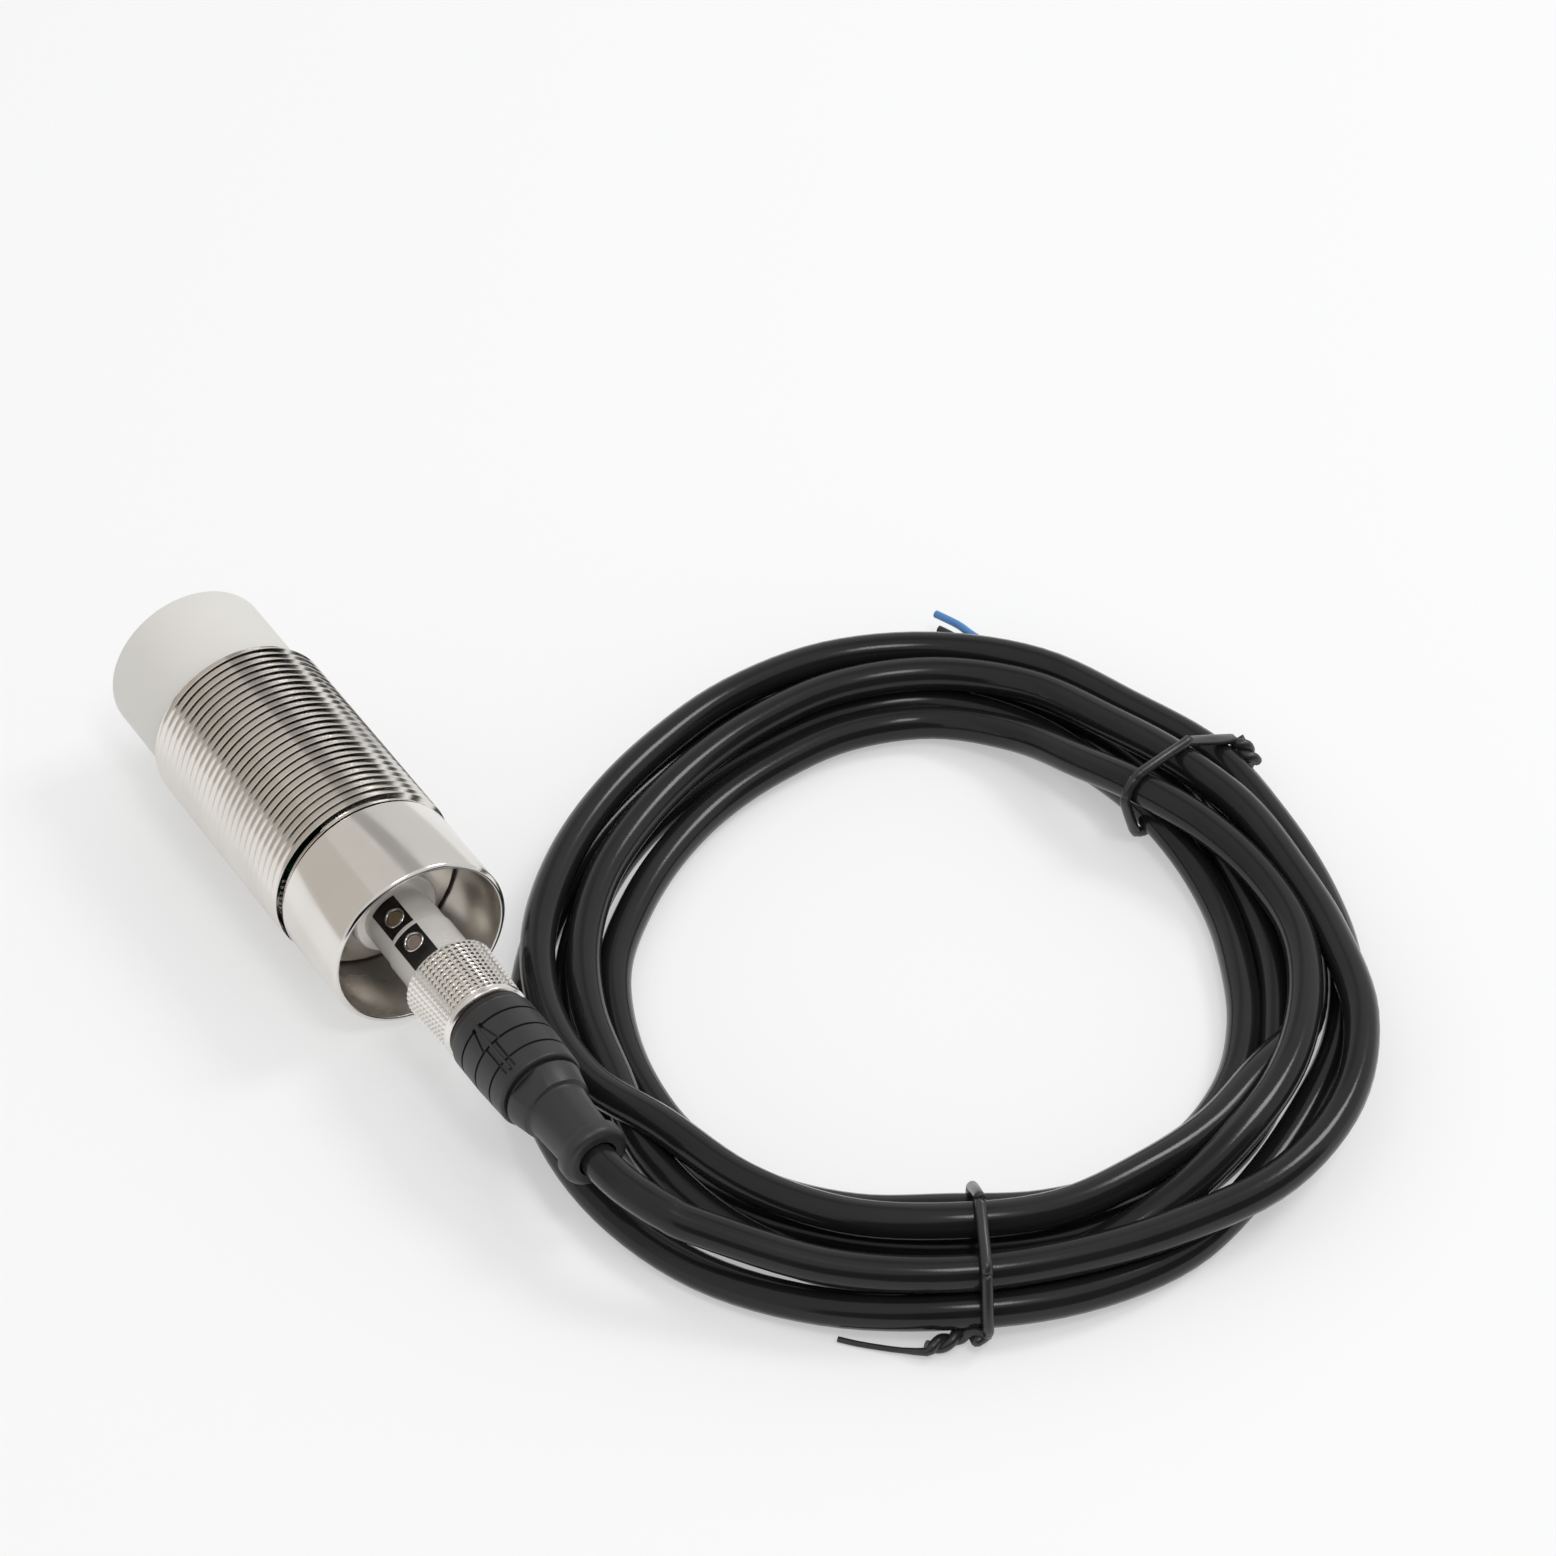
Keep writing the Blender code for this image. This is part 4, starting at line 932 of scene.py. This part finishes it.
def plug_profile():
    """Outline of the plug: pocket, flange, grip, lip, flat shoulder, waist, bead and mouth."""
    rounding = GRIP_RADIUS - GRIP_FACE
    points = [
        (POCKET_FLOOR, POCKET_RADIUS), (PLUG_START, POCKET_RADIUS), (PLUG_START, PLUG_THREAD_RADIUS),
        (FLANGE_END, PLUG_THREAD_RADIUS), (FLANGE_END, PLUG_NECK), (GRIP_START, PLUG_NECK)]
    points += rounded(GRIP_START + rounding, GRIP_FACE, rounding, 180, 90, 8)
    points.append((GROOVES[1], GRIP_RADIUS))
    points += rounded(GRIP_END - GRIP_EDGE, GRIP_END_RADIUS - GRIP_EDGE, GRIP_EDGE, 90, 0, 5)
    points += [
        (GRIP_END - 0.0001, LIP_RADIUS - 0.0006), (GRIP_END + 0.0004, LIP_RADIUS - 0.0006),
        (GRIP_END + 0.0006, LIP_RADIUS - 0.0001), (GRIP_END + 0.0008, LIP_RADIUS)]
    points += [
        (FACET_START, LIP_RADIUS - 0.0001), (FACET_END, FACET_RADIUS),
        (FACET_END + 0.0003, TAIL_RADIUS)]
    for i in range(1, 9):
        share = i / 8
        radius = TAIL_RADIUS + (WAIST_RADIUS - TAIL_RADIUS) * (1 - (1 - share) ** 1.6)
        points.append((FACET_END + (BEAD_START - FACET_END) * share, radius))
    points += [(BEAD_START + 0.0001, BEAD_RADIUS - 0.00025), (BEAD_START + 0.0003, BEAD_RADIUS)]
    points += rounded(PLUG_END - BEAD_EDGE, BEAD_RADIUS - BEAD_EDGE, BEAD_EDGE, 90, 0, 7)
    points += [(PLUG_END, MOUTH_RADIUS), (PLUG_END - MOUTH_DEPTH, MOUTH_RADIUS)]
    return points


def key_arrow(piece):
    """Press the arrow mark into the grip, with a raised rib along its middle."""
    for side in (-1, 1):
        head = ((GROOVES[0], side * ARROW_TIP), (GROOVES[1], side * ARROW_HEAD))
        shaft = ((GROOVES[1], side * ARROW_SHAFT), (ARROW_END, side * ARROW_SHAFT))
        combine(piece, arrow_line(*head, ARROW_WIDTH), "DIFFERENCE")
        combine(piece, arrow_line(*shaft, ARROW_WIDTH, ARROW_LOW - 0.0001), "DIFFERENCE")
        pit = ((GROOVES[0] - 0.0002, side * ARROW_TIP), (GROOVES[0] + 0.0002, side * ARROW_TIP))
        combine(piece, arrow_line(*pit, ARROW_PIT, ARROW_LOW - 0.0002), "DIFFERENCE")
    combine(piece, arrow_line((RIB_START, 0.0), (ARROW_END, 0.0), RIB_WIDTH, high=RIB_TOP), "UNION")


def plug_body():
    piece = turned("plug_grip", plug_profile(), steps=120)
    combine(piece, groove_cutter(GROOVES[0], ARROW_TIP / GRIP_RADIUS), "DIFFERENCE")
    combine(piece, groove_cutter(GROOVES[1]), "DIFFERENCE")
    combine(piece, groove_cutter(GROOVES[2]), "DIFFERENCE")
    key_arrow(piece)
    middle = (FACET_START + FACET_END) / 2
    block = (FACET_END - FACET_START + 0.0006, 0.012, 0.0030)
    facet = key_block("facet_cutter", (middle, 0.0, FACET_FLOOR + block[2] / 2), block, [(FACET_TILT, "Y")])
    combine(piece, facet, "DIFFERENCE")
    soften(piece, 0.00005, 1, 50.0)
    smooth(piece, 36.0)
    paint(piece, PLUG_RUBBER)
    settle(piece, "plug", "plug_rubber", "plug_body")


def plug_ring():
    """The dark ring that shows between the nut and the grip."""
    edge = 0.00025
    start = NUT_END + 0.00003
    piece = turned("plug_ring", [
        (start, PLUG_NECK), (start, RING_RADIUS - edge), (NUT_END + edge, RING_RADIUS),
        (RING_END, RING_RADIUS), (RING_END, PLUG_NECK)], steps=96)
    smooth(piece)
    paint(piece, RING_BROWN)
    settle(piece, "plug", "plug_rubber")


plug_ring()
plug_body()


# Finishes of the nodes that show as they are
FINISHES = {
    "nickel_plate": NICKEL, "cap_plastic": CAP_PLASTIC, "copper": COPPER, "board_green": BOARD_GREEN,
    "carrier_plastic": CARRIER_PLASTIC, "chip_black": CHIP_BLACK, "seal_rubber": SEAL_RUBBER,
    "lens_olive": LENS_OLIVE, "lens_brown": LENS_BROWN, "light_yellow": LIGHT_YELLOW,
    "light_green": LIGHT_GREEN, "contact_plastic": CONTACT_BLACK, "contact_gold": GOLD,
    "plug_rubber": PLUG_RUBBER, "cable_black": CABLE_BLACK, "tie_black": TIE_BLACK,
    "wire_blue": WIRE_BLUE, "wire_brown": WIRE_BROWN, "wire_black": WIRE_BLACK,
}


def dress_nodes():
    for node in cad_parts.values():
        for holder in node.material_slots:
            name = holder.material.name.split(".")[0]
            if name in FINISHES:
                holder.material = FINISHES[name]


dress_nodes()


# The studio
def stage_mesh(name, corners, faces, surface):
    mesh = bpy.data.meshes.new(name)
    mesh.from_pydata(corners, [], faces)
    piece = bpy.data.objects.new(name, mesh)
    bpy.context.collection.objects.link(piece)
    piece.data.materials.append(surface.material)
    return piece


def floor_surface():
    """Pale floor, partly self-lit where it is seen, so that its shadows stay light."""
    surface = Surface("floor", (0.945, 0.948, 0.950), 0.95)
    surface.set("Specular IOR Level", 0.0)
    seen = surface.node("ShaderNodeLightPath", output="Is Camera Ray")
    path = seen.socket.node
    for kind in ("Is Glossy Ray", "Is Transmission Ray"):
        seen = seen + Value(surface, path.outputs[kind])
    glow = surface.node("ShaderNodeEmission", {}, {"Color": (1.0, 1.0, 1.0, 1.0), "Strength": FLOOR_GLOW})
    lit = Value(surface, surface.shader.outputs[0])
    both = surface.node("ShaderNodeMixShader", {}, {0: FLOOR_GLOW_SHARE * seen, 1: lit, 2: glow})
    surface.feed(surface.tree.nodes["Material Output"].inputs["Surface"], both)
    return surface


def mirrored_card(name, colour, corners, faces):
    """A card that only shiny things see."""
    surface = Surface(name, (0.0, 0.0, 0.0), 1.0, Emission_Strength=1.0)
    surface.set("Specular IOR Level", 0.0)
    surface.set("Emission Color", (*colour, 1.0))
    card = stage_mesh(name, corners, faces, surface)
    card.visible_camera = False
    card.visible_diffuse = False
    card.visible_shadow = False
    card.visible_transmission = False


def curved_card(name, colour, first, last):
    """A card bent round the axis, from one angle to another, one metre away."""
    steps = 6
    corners = []
    for i in range(steps + 1):
        angle = math.radians(first + (last - first) * i / steps)
        for far in (-1.8, -0.1):
            corners.append((far, math.cos(angle), AXIS_HEIGHT + math.sin(angle)))
    faces = [(2 * i, 2 * i + 1, 2 * i + 3, 2 * i + 2) for i in range(steps)]
    mirrored_card(name, colour, corners, faces)


def area_lamp(name, place, size, energy):
    lamp = bpy.data.lights.new(name, "AREA")
    lamp.shape = "SQUARE"
    lamp.size = size
    lamp.energy = energy
    box = bpy.data.objects.new(name, lamp)
    box.location = place
    box.rotation_euler = (Vector(LAMP_AIM) - box.location).to_track_quat("-Z", "Y").to_euler()
    bpy.context.collection.objects.link(box)


def studio():
    span = FLOOR_SPAN
    stage_mesh("floor", [(-span, -span, 0), (span, -span, 0), (span, span, 0), (-span, span, 0)],
               [(0, 1, 2, 3)], floor_surface())
    half = REAR_CARD_HALF
    mirrored_card("dark_card_rear", (0.006, 0.005, 0.004), [
        (REAR_CARD_X, -half, 0.0), (REAR_CARD_X, half, 0.0), (REAR_CARD_X, half, REAR_CARD_HEIGHT),
        (REAR_CARD_X, -half, REAR_CARD_HEIGHT)], [(0, 1, 2, 3)])
    curved_card("light_card", (0.67, 0.64, 0.61), 85.0, 119.0)
    curved_card("beige_card", (0.59, 0.555, 0.52), 120.0, 180.0)
    curved_card("grey_strip", (0.40, 0.39, 0.38), 60.0, 80.0)
    world = bpy.data.worlds.new("studio_sky")
    world.use_nodes = True
    background = world.node_tree.nodes["Background"]
    background.inputs["Color"].default_value = (1.0, 1.0, 1.0, 1.0)
    background.inputs["Strength"].default_value = SKY_STRENGTH
    bpy.context.scene.world = world
    area_lamp("soft_box", place=(0.10, 0.95, 1.05), size=0.38, energy=4.2)
    area_lamp("top_lamp", place=(0.58, 0.02, 1.20), size=0.30, energy=2.4)


studio()
